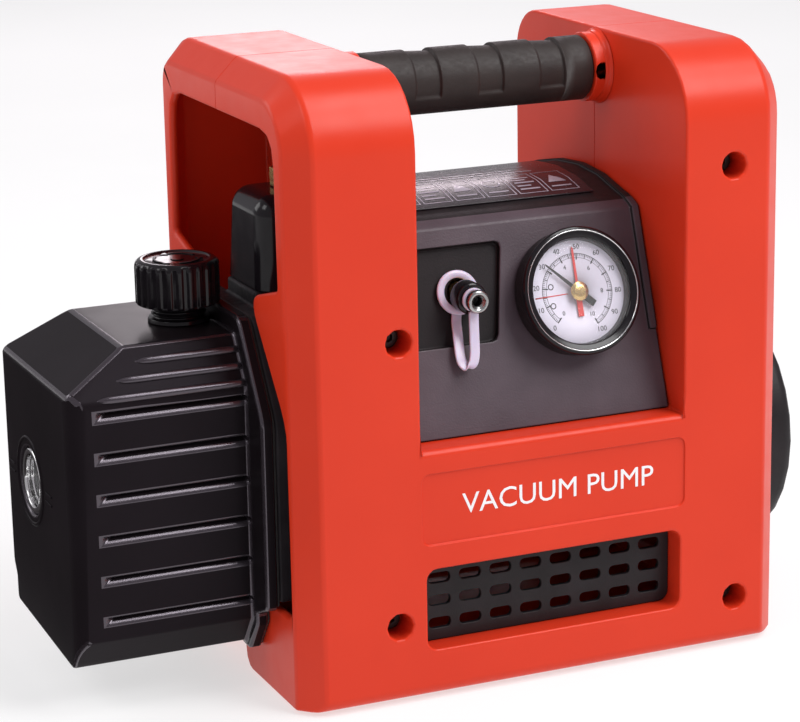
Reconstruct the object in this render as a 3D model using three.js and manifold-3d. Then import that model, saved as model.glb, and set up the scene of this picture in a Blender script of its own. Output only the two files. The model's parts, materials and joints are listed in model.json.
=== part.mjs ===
// Portable single-stage rotary vane vacuum pump with a moulded carrying frame.
// Units are millimetres. +X runs along the shaft to the motor end, -Y is the gauge side, +Z is up.
// Shapes are drawn about the middle of the frame; the whole pump is then shifted along X so that
// the origin is the bottom centre of the object.
import * as THREE from 'three';
import { mergeVertices } from 'three/addons/utils/BufferGeometryUtils.js';
import Module from 'manifold-3d';

const wasm = await Module();
wasm.setup();

// ---- Driving dimensions -------------------------------------------------------------------

const GAP = 0.3;                 // clearance left between touching pieces

// Carrying frame, two half shells that meet near the middle of its depth
const FRAME_X = 120;             // half its width
const FRAME_Y = 86;              // half its depth
const FRAME_TOP = 280;
const FRAME_BOTTOM = 1.2;        // the rubber feet hold it off the surface
const WALL = 4;
const END_CHAMFER = 10.5;
const TOP_FRONT_RADIUS = 33;
const TOP_REAR_RADIUS = 21;
const BOTTOM_RADIUS = 6;
const LEFT_TOWER_INNER = -62.5;
const RIGHT_TOWER_INNER = 67.5;
const SILL_Z = 115;
const PARTING_Y = 2;
const ARCH_HALF = 14;            // passage under the frame, along X
const ARCH_HEIGHT = 12;
const FOOT_RADIUS = 9;
const FOOT_X = 98;
const FOOT_Y = 58;

// Ventilation windows and the plain panel above them
const VENT_X0 = -60.5;
const VENT_X1 = 66;
const VENT_Z0 = 23;
const VENT_Z1 = 60.5;
const VENT_DEPTH = 15;
const PANEL_Z0 = 71.8;
const PANEL_Z1 = 104.6;

// Screws that join the shells: [x, z]
const SCREWS = [[-72, 165], [-73.5, 36.3], [92, 227], [95, 23.5]];
const BORE_RADIUS = 6.2;
const BORE_DEPTH = 15;
const POST_RADIUS = 9;
const SHANK_RADIUS = 2.5;

// Handle
const HANDLE_Z = 262;
const HANDLE_CORE_RADIUS = 9;
const GRIP_RADIUS = 15.2;
const COLLAR_RADIUS = 16.2;
const COLLAR_LENGTH = 8;

// Pump and motor share one shaft
const SHAFT_Z = 84;
const SHAFT_RADIUS = 6;
const MOTOR_RADIUS = 50;
const MOTOR_FINS = 16;
const MOTOR_X0 = -50;
const MOTOR_X1 = 92;
const STACK_X0 = -22;            // laminations
const STACK_X1 = 52;
const BEARING_RADIUS = 11;
const FAN_X = 110;
const FAN_BLADES = 9;
const COVER_RADIUS = 59;
const AIR_SLOTS = 16;
const COVER_START = 104.5;
const COVER_END = 144;

// Oil tank
const TANK_END = -208;
const TANK_X1 = -121.3;
const TANK_FRONT = 45;           // the tank stands out further behind than in front
const TANK_REAR = 60;
const TANK_REAR_FOOT = 54;
const TANK_TOP = 164;
const TANK_BOTTOM = 21;
const TANK_WALL = 4.5;
const GROOVES = 6;
const GROOVE_PITCH = 18.6;
const GROOVE_TOP = 140;
const TANK_RIM = 3;              // edge of the flange round the tank
const SIGHT_Y = 20.5;
const SIGHT_Z = 93;
const DRAIN_X = TANK_X1 - 40;
const DRAIN_Z = 42;
const FILLER_X = -141;
const FILLER_Y = 2;
const CAP_FLUTES = 24;

// Control housing: its front leans back by LEAN
const LEAN = THREE.MathUtils.degToRad(18.3);
const HOUSING_X0 = -61.8;
const HOUSING_X1 = 66.8;
const FASCIA_Y = -73;            // foot of the fascia, on the sill
const FASCIA_TOP = 204;
const HOUSING_REAR = 62;
const HUMP_TOP = 213.5;
const HOUSING_WALL = 3;
const LABEL_HALF = 52;           // the label lies over the hump
const LABEL_FRONT = -27;
const LABEL_REAR = 38;
const PIPE_Y = 6;                // copper pipe from the manifold into the housing
const PIPE_Z = 196;

// Gauge, drawn about its own axis
const GAUGE_X = 26;
const GAUGE_Z = 169.5;
const GAUGE_RADIUS = 29;
const DIAL_RADIUS = 24.2;

// Service port, in a recess of the fascia
const RECESS_X = -27.5;
const RECESS_Z = 173;
const PORT_X = -26.5;
const PORT_Y = -50;
const PORT_Z = 174.5;

// Inlet manifold
const MANIFOLD_X0 = -111;
const MANIFOLD_X1 = -70;
const FITTING_X = -87.5;
const MANIFOLD_HALF = 24;
const MANIFOLD_Z0 = 178;
const MANIFOLD_Z1 = 220;

const fasciaY = (z) => FASCIA_Y + (z - SILL_Z) * Math.tan(LEAN);

// ---- Materials ----------------------------------------------------------------------------

const finish = (color, roughness, metalness = 0) =>
  new THREE.MeshStandardMaterial({ color, roughness, metalness });
const redPlastic = finish(0xd83a28, 0.42);
const blackPlastic = finish(0x2b2629, 0.55);
const glossBlack = finish(0x17141a, 0.22);
const rubber = finish(0x1d1a1a, 0.85);
const gripRubber = finish(0x2c2725, 0.75);
const steel = finish(0xb9bcc0, 0.3, 1);
const darkSteel = finish(0x3a3a3d, 0.45, 1);
const brass = finish(0xb58b3e, 0.3, 1);
const chrome = finish(0xd6d8da, 0.12, 1);
const copper = finish(0xb46a3c, 0.4, 1);
const glass = finish(0xdfe6ea, 0.05);
const whiteEnamel = finish(0xf2f2f0, 0.45);
const redEnamel = finish(0xc8202a, 0.4);
const clearPlastic = finish(0xdadcdf, 0.3);
const gasketPaper = finish(0x4c4a44, 0.8);
const labelFilm = finish(0x221f24, 0.15);
const castMetal = finish(0x2a282c, 0.4, 0.3);

// ---- Solid helpers ------------------------------------------------------------------------

function toSolid(geometry, matrix) {
  const g = geometry.index ? geometry.toNonIndexed() : geometry.clone();
  g.deleteAttribute('normal');
  g.deleteAttribute('uv');
  if (matrix) g.applyMatrix4(matrix);
  const merged = mergeVertices(g, 1e-4);
  const vertProperties = Float32Array.from(merged.attributes.position.array);
  const triVerts = Uint32Array.from(merged.index.array);
  return new wasm.Manifold(new wasm.Mesh({ numProp: 3, vertProperties, triVerts }));
}

function toGeometry(solid) {
  const mesh = solid.getMesh();
  const g = new THREE.BufferGeometry();
  g.setAttribute('position', new THREE.BufferAttribute(mesh.vertProperties.slice(), 3));
  g.setIndex(new THREE.BufferAttribute(mesh.triVerts.slice(), 1));
  g.computeVertexNormals();
  return g;
}

const join = (first, ...others) => others.reduce((a, b) => a.add(b), first);
const cut = (first, ...others) => others.reduce((a, b) => a.subtract(b), first);

// Local x, y, z of a drawn section become these axes of the pump
const axes = (x, y, z) => new THREE.Matrix4().makeBasis(
  new THREE.Vector3(...x), new THREE.Vector3(...y), new THREE.Vector3(...z));
const SECTION_YZ = axes([0, 1, 0], [0, 0, 1], [1, 0, 0]);
const SECTION_XZ = axes([1, 0, 0], [0, 0, 1], [0, -1, 0]);
const SECTION_XY = axes([1, 0, 0], [0, 1, 0], [0, 0, 1]);

// `detail` is the number of facets along each arc; three.js doubles its own count for arcs
function extrude(shape, depth, detail) {
  const curveSegments = Math.max(1, Math.round(detail / 2));
  return new THREE.ExtrudeGeometry(shape, { depth, bevelEnabled: false, steps: 1, curveSegments });
}

function prism(shape, axis, from, to, detail = 8) {
  const g = extrude(shape, to - from, detail);
  const place = { x: [SECTION_YZ, from], y: [SECTION_XZ, -to], z: [SECTION_XY, from] }[axis];
  const shift = new THREE.Matrix4().makeTranslation(0, 0, place[1]);
  return toSolid(g, place[0].clone().multiply(shift));
}

// A rectangle with its own radius at each corner: low-left, low-right, high-right, high-left
function roundedRect(x0, x1, y0, y1, radii = 0) {
  const [bl, br, tr, tl] = Array.isArray(radii) ? radii : [radii, radii, radii, radii];
  const s = new THREE.Shape();
  s.moveTo(x0 + bl, y0);
  s.lineTo(x1 - br, y0);
  if (br > 0) s.absarc(x1 - br, y0 + br, br, -Math.PI / 2, 0);
  s.lineTo(x1, y1 - tr);
  if (tr > 0) s.absarc(x1 - tr, y1 - tr, tr, 0, Math.PI / 2);
  s.lineTo(x0 + tl, y1);
  if (tl > 0) s.absarc(x0 + tl, y1 - tl, tl, Math.PI / 2, Math.PI);
  s.lineTo(x0, y0 + bl);
  if (bl > 0) s.absarc(x0 + bl, y0 + bl, bl, Math.PI, 1.5 * Math.PI);
  return s;
}

// A polygon whose corners are eased by the third value of each point
function easedPolygon(points) {
  const s = new THREE.Shape();
  const count = points.length;
  points.forEach(([x, y, ease = 0], i) => {
    const [px, py] = points[(i + count - 1) % count];
    const [nx, ny] = points[(i + 1) % count];
    const back = Math.hypot(px - x, py - y);
    const on = Math.hypot(nx - x, ny - y);
    const ax = x + (px - x) * ease / back;
    const ay = y + (py - y) * ease / back;
    if (i === 0) s.moveTo(ax, ay);
    else s.lineTo(ax, ay);
    if (ease > 0) s.quadraticCurveTo(x, y, x + (nx - x) * ease / on, y + (ny - y) * ease / on);
  });
  return s;
}

const circle = (x, y, r) => new THREE.Shape().absarc(x, y, r, 0, 2 * Math.PI);

function box(x0, x1, y0, y1, z0, z1) {
  const g = new THREE.BoxGeometry(x1 - x0, y1 - y0, z1 - z0);
  const middle = [(x0 + x1) / 2, (y0 + y1) / 2, (z0 + z1) / 2];
  return toSolid(g, new THREE.Matrix4().makeTranslation(...middle));
}

const rodX = (r, x0, x1, y, z, n = 32) => prism(circle(y, z, r), 'x', x0, x1, n);
const rodY = (r, y0, y1, x, z, n = 32) => prism(circle(x, z, r), 'y', y0, y1, n);
const rodZ = (r, z0, z1, x, y, n = 32) => prism(circle(x, y, r), 'z', z0, z1, n);

// A turned shape: [radius, height] points about local z, starting and ending on the axis
// or closing on themselves
function turned(profile, segments = 32) {
  const g = new THREE.LatheGeometry(profile.map(([r, h]) => new THREE.Vector2(r, h)), segments);
  return toSolid(g, new THREE.Matrix4().makeRotationX(Math.PI / 2));
}

function ringProfile(inner, outer, from, to) {
  return [[inner, from], [outer, from], [outer, to], [inner, to], [inner, from]];
}

function hexagon(x, y, acrossFlats) {
  const s = new THREE.Shape();
  const r = acrossFlats / Math.sqrt(3);
  for (let i = 0; i < 6; i += 1) {
    const a = i * Math.PI / 3 + Math.PI / 6;
    if (i === 0) s.moveTo(x + r * Math.cos(a), y + r * Math.sin(a));
    else s.lineTo(x + r * Math.cos(a), y + r * Math.sin(a));
  }
  return s;
}

// Half of a symmetrical outline, from its foot upwards, followed by its mirror image
const bothSides = (side) => [...side, ...[...side].reverse().map(([y, z, ease]) => [-y, z, ease])];

const moved = (solid, x, y, z) => solid.translate([x, y, z]);
const mirroredY = (solid) => solid.mirror([0, 1, 0]);
const laidAlongX = (solid) => solid.rotate([0, 90, 0]);
const laidAlongMinusY = (solid) => solid.rotate([90, 0, 0]);

// ---- Assembly -----------------------------------------------------------------------------

const pump = new THREE.Group();
pump.position.x = -(TANK_END + COVER_END) / 2;

function addPart(name, solid, material, parent = pump) {
  const mesh = new THREE.Mesh(toGeometry(solid), material);
  mesh.name = name;
  parent.add(mesh);
}

// ---- Carrying frame -----------------------------------------------------------------------

// A tower before its foot is shaped: its outline in Y and Z, with the chamfer running all round
// the outer end. It is longer than needed and is cut to length.
function towerBlank(inset, chamfer) {
  const outline = roundedRect(-FRAME_Y + inset, FRAME_Y - inset, -60, FRAME_TOP - inset,
    [0, 0, TOP_REAR_RADIUS - inset, TOP_FRONT_RADIUS - inset]);
  const length = 90;
  const g = new THREE.ExtrudeGeometry(outline, {
    depth: length, steps: 1, curveSegments: 4, bevelEnabled: true, bevelSegments: 1,
    bevelThickness: chamfer, bevelSize: chamfer, bevelOffset: -chamfer,
  });
  return toSolid(g, SECTION_YZ.clone().multiply(new THREE.Matrix4().makeTranslation(0, 0, chamfer)));
}

// The frame's full outline drawn in by `inset`: two towers on a base, chamfered at the ends
function frameBlock(inset) {
  const front = -FRAME_Y + inset;
  const rear = FRAME_Y - inset;
  const low = FRAME_BOTTOM + inset;
  const foot = Math.max(BOTTOM_RADIUS - inset, 1);
  const width = FRAME_X - inset;
  const chamfer = END_CHAMFER - inset * (2 - Math.SQRT2);
  const blank = towerBlank(inset, chamfer);
  const towers = join(
    moved(blank, -width, 0, 0).intersect(
      box(-width - 1, LEFT_TOWER_INNER - inset, -90, 90, -70, FRAME_TOP + 1)),
    moved(blank.mirror([1, 0, 0]), width, 0, 0).intersect(
      box(RIGHT_TOWER_INNER + inset, width + 1, -90, 90, -70, FRAME_TOP + 1)),
  );
  const base = roundedRect(front, rear, low - 5, SILL_Z - inset, [0, 0, 3, 3]);
  const plan = new THREE.Shape([
    [-width + chamfer, front], [width - chamfer, front], [width, front + chamfer],
    [width, rear - chamfer], [width - chamfer, rear], [-width + chamfer, rear],
    [-width, rear - chamfer], [-width, front + chamfer],
  ].map(([x, y]) => new THREE.Vector2(x, y)));
  const footing = roundedRect(front, rear, low, FRAME_TOP + 9, [foot, foot, 0, 0]);
  const reach = ARCH_HALF + inset;
  const flare = reach + 12;
  const arch = easedPolygon([
    [PARTING_Y - flare, -5], [PARTING_Y + flare, -5], [PARTING_Y + flare, FRAME_BOTTOM - 0.1],
    [PARTING_Y + reach, FRAME_BOTTOM, 9], [PARTING_Y + reach, ARCH_HEIGHT + inset],
    [PARTING_Y - reach, ARCH_HEIGHT + inset], [PARTING_Y - reach, FRAME_BOTTOM, 9],
    [PARTING_Y - flare, FRAME_BOTTOM - 0.1],
  ]);
  return cut(join(towers, prism(base, 'x', -width, width, 4))
    .intersect(prism(plan, 'z', 0, FRAME_TOP, 1))
    .intersect(prism(footing, 'x', -FRAME_X - 1, FRAME_X + 1, 5)),
  prism(arch, 'x', -FRAME_X - 1, FRAME_X + 1, 6));
}

// The left end is open for the hoses above and for the pump flange below
function leftOpening() {
  const side = [
    [72.5, 43, 5], [72.5, 130, 10], [37, 173, 4], [36, 181, 5], [67, 189.5, 2], [66, 257, 15],
  ];
  return prism(easedPolygon(bothSides(side)), 'x', -FRAME_X - 2, -FRAME_X + WALL + 2, 5);
}

const ventShape = (grow) => roundedRect(
  VENT_X0 - grow, VENT_X1 + grow, VENT_Z0 - grow, VENT_Z1 + grow, 5 + grow);

function frameOpenings() {
  const sill = box(LEFT_TOWER_INNER + 0.5, RIGHT_TOWER_INNER - 0.5, -67, 57, SILL_Z - 10, SILL_Z + 5);
  const neckHole = rodX(38, LEFT_TOWER_INNER - WALL - 1, LEFT_TOWER_INNER + 1, 0, SHAFT_Z, 24);
  const bodyHole = rodX(MOTOR_RADIUS + 2, RIGHT_TOWER_INNER - 1, RIGHT_TOWER_INNER + WALL + 1,
    0, SHAFT_Z, 32);
  const motorHole = rodX(COVER_RADIUS + 2.5, FRAME_X - WALL - 2, FRAME_X + 2, 0, SHAFT_Z, 24);
  const handleHoles = [LEFT_TOWER_INNER - 2, RIGHT_TOWER_INNER + 2].map(
    (x) => rodX(HANDLE_CORE_RADIUS + 0.4, x - 7, x + 7, 0, HANDLE_Z, 12));
  const pipeHole = rodX(5.5, LEFT_TOWER_INNER - 8, LEFT_TOWER_INNER + 4, PIPE_Y, PIPE_Z, 8);
  const vent = prism(ventShape(0), 'y', -FRAME_Y - 2, -FRAME_Y + VENT_DEPTH + 4, 4);
  const panel = prism(roundedRect(VENT_X0 - 2, VENT_X1 + 2, PANEL_Z0, PANEL_Z1, 4),
    'y', -FRAME_Y - 2, -FRAME_Y + 1, 4);
  const shaftHoles = join(neckHole, bodyHole, motorHole);
  return join(sill, shaftHoles, ...handleHoles, pipeHole, leftOpening(), vent, mirroredY(vent), panel);
}

function ventSleeves() {
  const sleeve = prism(ventShape(WALL - 1), 'y', -FRAME_Y + 1, -FRAME_Y + VENT_DEPTH, 4);
  return join(sleeve, mirroredY(sleeve));
}

function buildFrame() {
  const posts = SCREWS.map(([x, z]) => rodY(POST_RADIUS, -FRAME_Y + 1, FRAME_Y - 1, x, z, 10));
  const bores = SCREWS.map(([x, z]) => join(
    rodY(BORE_RADIUS, -FRAME_Y - 1, -FRAME_Y + BORE_DEPTH, x, z, 10),
    rodY(SHANK_RADIUS + 0.4, -FRAME_Y, 45, x, z, 6),
  ));
  const walls = cut(frameBlock(0), frameBlock(WALL));
  const whole = cut(join(walls, ventSleeves(), ...posts).intersect(frameBlock(0)),
    frameOpenings(), ...bores);
  const feet = footPlaces().map(([x, y]) => rodZ(FOOT_RADIUS + 0.9, -1, FRAME_BOTTOM + 1.8, x, y, 16));
  const footed = cut(whole, ...feet);
  const half = GAP / 2;
  addPart('front_shell', footed.intersect(
    box(-130, 130, -90, PARTING_Y - half, 0, 290)), redPlastic);
  addPart('rear_shell', footed.intersect(
    box(-130, 130, PARTING_Y + half, 90, 0, 290)), redPlastic);
}

function footPlaces() {
  return [-FOOT_X, FOOT_X].flatMap((x) => [-FOOT_Y, FOOT_Y].map((y) => [x, y]));
}

function addFeet() {
  footPlaces().forEach(([x, y], i) => {
    const foot = turned([
      [0, 0], [FOOT_RADIUS - 1, 0], [FOOT_RADIUS, 1], [FOOT_RADIUS, 2.7], [0, 2.7],
    ], 16);
    addPart(`rubber_foot_${i + 1}`, moved(foot, x, y, 0), rubber);
  });
}

// Pan-head screw with a hexagon socket, head outwards along -Y
function shellScrew(length) {
  const body = turned([
    [0, -length], [SHANK_RADIUS - 0.3, -length], [SHANK_RADIUS, -length + 1], [SHANK_RADIUS, 0],
    [5, 0], [5, 2.2], [4.2, 3.2], [0, 3.2],
  ], 14);
  return cut(body, prism(hexagon(0, 0, 3.4), 'z', 1.2, 4, 1));
}

function addShellScrews() {
  SCREWS.forEach(([x, z], i) => {
    const screw = laidAlongMinusY(shellScrew(100));
    const seat = -FRAME_Y + BORE_DEPTH - GAP;
    addPart(`shell_screw_${i + 1}`, moved(screw, x, seat, z), darkSteel);
  });
}

// Perforated plate: rows of long round-ended slots
function grille() {
  const columns = 8;
  const rows = 3;
  const pitchX = (VENT_X1 - VENT_X0 - 6) / columns;
  const pitchZ = 10.6;
  const plate = prism(roundedRect(VENT_X0 + GAP, VENT_X1 - GAP, VENT_Z0 + GAP, VENT_Z1 - GAP, 4.7),
    'y', -FRAME_Y + VENT_DEPTH - 4, -FRAME_Y + VENT_DEPTH - 1.5, 4);
  const slots = [];
  for (let c = 0; c < columns; c += 1) {
    for (let r = 0; r < rows; r += 1) {
      const x = VENT_X0 + 3 + pitchX * (c + 0.5);
      const z = (VENT_Z0 + VENT_Z1) / 2 + (r - 1) * pitchZ;
      const slot = roundedRect(x - 5.3, x + 5.3, z - 2.4, z + 2.4, 1.8);
      slots.push(prism(slot, 'y', -FRAME_Y + 8, -FRAME_Y + 16, 2));
    }
  }
  return cut(plate, ...slots);
}

function addGrilles() {
  addPart('front_grille', grille(), blackPlastic);
  addPart('rear_grille', mirroredY(grille()), blackPlastic);
}

// ---- Handle -------------------------------------------------------------------------------

function addHandle() {
  const core = rodX(HANDLE_CORE_RADIUS, LEFT_TOWER_INNER - 16, RIGHT_TOWER_INNER + 16, 0, 0, 12);
  const grip0 = LEFT_TOWER_INNER + COLLAR_LENGTH + 2 * GAP;
  const grip1 = RIGHT_TOWER_INNER - COLLAR_LENGTH - 2 * GAP;
  const bands = 7;
  const bandPitch = (grip1 - grip0 - 4) / bands;
  const outline = [[HANDLE_CORE_RADIUS + GAP, grip0], [GRIP_RADIUS - 1, grip0]];
  for (let i = 0; i < bands; i += 1) {
    const start = grip0 + 2 + i * bandPitch;
    const raised = i % 2 === 0 ? 0 : 0.9;
    outline.push([GRIP_RADIUS - raised, start], [GRIP_RADIUS - raised, start + bandPitch - 1.4]);
    outline.push([GRIP_RADIUS - 1.6, start + bandPitch - 1.0], [GRIP_RADIUS - 1.6, start + bandPitch]);
  }
  outline.push([GRIP_RADIUS - 1, grip1], [HANDLE_CORE_RADIUS + GAP, grip1], outline[0]);
  const grip = laidAlongX(turned(outline, 18));
  const ends = { left: [LEFT_TOWER_INNER + GAP, 1], right: [RIGHT_TOWER_INNER - GAP, -1] };
  const pin = rodY(2.3, -20, 20, 0, 0, 8);
  const pinX = Object.values(ends).map(([x, dir]) => x + dir * COLLAR_LENGTH / 2);
  addPart('handle_core', moved(cut(core, ...pinX.map((x) => moved(pin, x, 0, 0))), 0, 0, HANDLE_Z),
    steel);
  addPart('handle_grip', moved(grip, 0, 0, HANDLE_Z), gripRubber);
  Object.entries(ends).forEach(([side, [x, dir]], i) => {
    const [x0, x1] = dir > 0 ? [x, x + COLLAR_LENGTH] : [x - COLLAR_LENGTH, x];
    const bores = join(pin, rodY(3.6, -20, -12, 0, 0, 10));
    const collar = cut(rodX(COLLAR_RADIUS, x0, x1, 0, 0, 20),
      rodX(HANDLE_CORE_RADIUS + GAP, x0 - 1, x1 + 1, 0, 0, 12), moved(bores, pinX[i], 0, 0));
    addPart(`handle_collar_${side}`, moved(collar, 0, 0, HANDLE_Z), redPlastic);
    const screw = turned([[0, -24], [2, -24], [2, 0], [3.2, 0], [3.2, 2.2], [0, 2.2]], 16);
    const socketed = cut(screw, prism(hexagon(0, 0, 2.6), 'z', 1, 3, 1));
    addPart(`handle_screw_${side}`,
      moved(laidAlongMinusY(socketed), pinX[i], -12 - GAP, HANDLE_Z), darkSteel);
  });
}

// ---- Control housing ----------------------------------------------------------------------

function housingSection(inset) {
  const low = SILL_Z + GAP - (inset > 0 ? 5 : 0);
  const s = new THREE.Shape();
  const slope = Math.tan(LEAN);
  const front = (z) => fasciaY(z) + inset / Math.cos(LEAN);
  const top = FASCIA_TOP - inset;
  const rearTop = 206 - inset;
  s.moveTo(front(low), low);
  s.lineTo(HOUSING_REAR - inset, low);
  s.lineTo(HOUSING_REAR - inset, rearTop - 6);
  s.quadraticCurveTo(HOUSING_REAR - inset, rearTop, HOUSING_REAR - 8 - inset, rearTop + 1.5);
  s.quadraticCurveTo(8, HUMP_TOP + 6.5 - inset, front(top) + 14, top + 3.5);
  s.quadraticCurveTo(front(top) + 7, top + 2.6, front(top) + 3 * slope, top - 1);
  s.closePath();
  return s;
}

// The fascia's own frame: local x along X, local y up the slope, local z out of the face
const FASCIA_TURN = Math.PI / 2 - LEAN;
const onFascia = (solid, x, z) => moved(solid.rotate([90 - THREE.MathUtils.radToDeg(LEAN), 0, 0]),
  x, fasciaY(z), z);

function addHousing() {
  const shell = cut(
    prism(housingSection(0), 'x', HOUSING_X0, HOUSING_X1, 8),
    prism(housingSection(HOUSING_WALL), 'x', HOUSING_X0 + HOUSING_WALL, HOUSING_X1 - HOUSING_WALL, 6),
  );
  const rim = cut(prism(housingSection(-1), 'x', HOUSING_X1 - 4, HOUSING_X1, 8),
    prism(housingSection(1), 'x', HOUSING_X1 - 5, HOUSING_X1 + 1, 8),
    box(60, 70, -90, 90, 100, 150));
  const recess = prism(easedPolygon([
    [-33.6, -20.5, 3], [15, -20.5, 3], [23, 23.5, 3], [-33.6, 23.5, 3],
  ]), 'z', -4.5, 12, 4);
  const recessCut = onFascia(recess, RECESS_X, RECESS_Z);
  const pocket = prism(roundedRect(-37.1, 27, -24, 27, 3), 'z', -8, -4.4, 2);
  const backing = onFascia(pocket, RECESS_X, RECESS_Z).intersect(prism(housingSection(0), 'x',
    HOUSING_X0, HOUSING_X1, 8));
  const gaugeHole = onFascia(toSolid(extrude(circle(0, 0, 22), 30, 16),
    new THREE.Matrix4().makeTranslation(0, 0, -15)), GAUGE_X, GAUGE_Z);
  const portHole = rodY(5.5, -60, -35, PORT_X, PORT_Z, 12);
  const pipeHole = rodX(5.5, HOUSING_X0 - 2, HOUSING_X0 + 6, PIPE_Y, PIPE_Z, 8);
  const motorArch = rodX(MOTOR_RADIUS + 2, HOUSING_X0 - 1, HOUSING_X1 + 1, 0, SHAFT_Z, 32);
  const rockerHole = box(-42, -14, HOUSING_REAR - 6, HOUSING_REAR + 4, 160, 182);
  const plugHole = box(8, 37, HOUSING_REAR - 6, HOUSING_REAR + 4, 158, 180);
  const housing = cut(join(shell, rim.intersect(box(-70, 70, -90, 90, 100, 230)), backing),
    recessCut, gaugeHole, portHole, pipeHole, motorArch, rockerHole, plugHole);
  addPart('control_housing', housing, blackPlastic);
  const labelBand = cut(prism(housingSection(-0.9), 'x', -LABEL_HALF, LABEL_HALF, 8),
    prism(housingSection(-GAP), 'x', -LABEL_HALF - 1, LABEL_HALF + 1, 8),
    box(-60, 60, -90, LABEL_FRONT, 100, 230), box(-60, 60, LABEL_REAR, 90, 100, 230),
    box(-60, 60, -90, 90, 100, 200));
  addPart('info_label', labelBand, labelFilm);
}

function addPowerControls() {
  const y = HOUSING_REAR;
  const rim = box(-43.5, -12.5, y + GAP, y + 2.3, 158.5, 183.5);
  const sleeve = box(-41.7, -14.3, y - 9, y + 1, 160.3, 181.7);
  addPart('switch_bezel', cut(join(rim, sleeve), box(-40, -16, y - 12, y + 4, 162, 180)), blackPlastic);
  const rocker = prism(easedPolygon([
    [y - 6, 163.4, 1], [y + 2.2, 162.9, 1.5], [y + 4.4, 171, 3], [y + 4.6, 179.1, 1.5],
    [y - 6, 178.6, 1],
  ]), 'x', -39.4, -16.6, 4);
  addPart('switch_rocker', rocker, redEnamel);
  const inletBlock = join(box(5.5, 39.5, y + GAP, y + 2.8, 155.5, 182.5),
    box(8.3, 36.7, y - 20, y + 1, 158.3, 179.7));
  const socket = prism(easedPolygon([
    [11, 161.5, 1], [34, 161.5, 1], [34, 173, 2], [30.5, 176.5, 1], [14.5, 176.5, 1], [11, 173, 2],
  ]), 'y', y - 15, y + 5, 4);
  const pins = [[17, 167], [22.5, 171.5], [28, 167]].map(
    ([x, z]) => box(x - 1, x + 1, y - 16, y - 1, z - 2, z + 2));
  addPart('power_inlet', join(cut(inletBlock, socket), ...pins), blackPlastic);
}

// ---- Vacuum gauge -------------------------------------------------------------------------

const gauge = new THREE.Group();
gauge.position.set(GAUGE_X, fasciaY(GAUGE_Z), GAUGE_Z);
gauge.rotation.x = FASCIA_TURN;
pump.add(gauge);

// A flat pointer outline along +y with its pivot at the origin
function pointer(length, tail, rootHalf, tipHalf, tailHalf) {
  return new THREE.Shape([
    [-tailHalf, -tail], [tailHalf, -tail], [rootHalf, 0], [tipHalf, length], [-tipHalf, length],
    [-rootHalf, 0],
  ].map(([x, y]) => new THREE.Vector2(x, y)));
}

function addGauge() {
  addPart('gauge_case', cut(turned([
    [0, -22], [20.5, -22], [20.5, GAP], [GAUGE_RADIUS - 1.2, GAP], [GAUGE_RADIUS - 0.6, 1.5],
    [GAUGE_RADIUS - 0.6, 9.5], [0, 9.5],
  ], 32), turned([[0, 5.6], [26, 5.6], [26, 12], [0, 12]], 32)), blackPlastic, gauge);
  addPart('gauge_bezel', turned([
    [25, 9.8], [GAUGE_RADIUS, 9.8], [GAUGE_RADIUS, 12.2], [GAUGE_RADIUS - 1, 13.2],
    [DIAL_RADIUS + 1.4, 13.2], [DIAL_RADIUS + 0.4, 12.4], [DIAL_RADIUS + 0.4, 11.9], [25, 11.7],
    [25, 9.8],
  ], 32), glossBlack, gauge);
  addPart('gauge_lens', turned([[0, 10.2], [24.7, 10.2], [24.7, 11.4], [0, 11.4]], 32), glass, gauge);
  addPart('gauge_dial', turned([
    [1.2, 5.9], [25.6, 5.9], [25.6, 6.7], [1.2, 6.7], [1.2, 5.9]], 32), whiteEnamel, gauge);
  const needleTurn = 47;
  const needle = prism(pointer(19.5, 7.5, 0.75, 0.25, 1.1), 'z', 8.3, 8.8, 1);
  addPart('gauge_needle', join(needle, turned([[0, 8.3], [1.7, 8.3], [1.7, 8.8], [0, 8.8]], 16))
    .rotate([0, 0, needleTurn]), blackPlastic, gauge);
  const setPointer = join(prism(pointer(22, 10, 0.55, 0.4, 1.2), 'z', 7.2, 7.7, 1),
    turned([[0, 7.2], [2.6, 7.2], [2.6, 7.7], [0, 7.7]], 16));
  addPart('gauge_set_pointer', setPointer, redEnamel, gauge);
  const hub = turned([[0, 9.1], [2.3, 9.1], [2.3, 9.7], [1.4, 9.9], [0, 9.9]], 20);
  addPart('gauge_hub', hub, brass, gauge);
}

// ---- Service port -------------------------------------------------------------------------

const port = new THREE.Group();
port.position.set(PORT_X, PORT_Y, PORT_Z);
port.rotation.x = Math.PI / 2;
pump.add(port);

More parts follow.
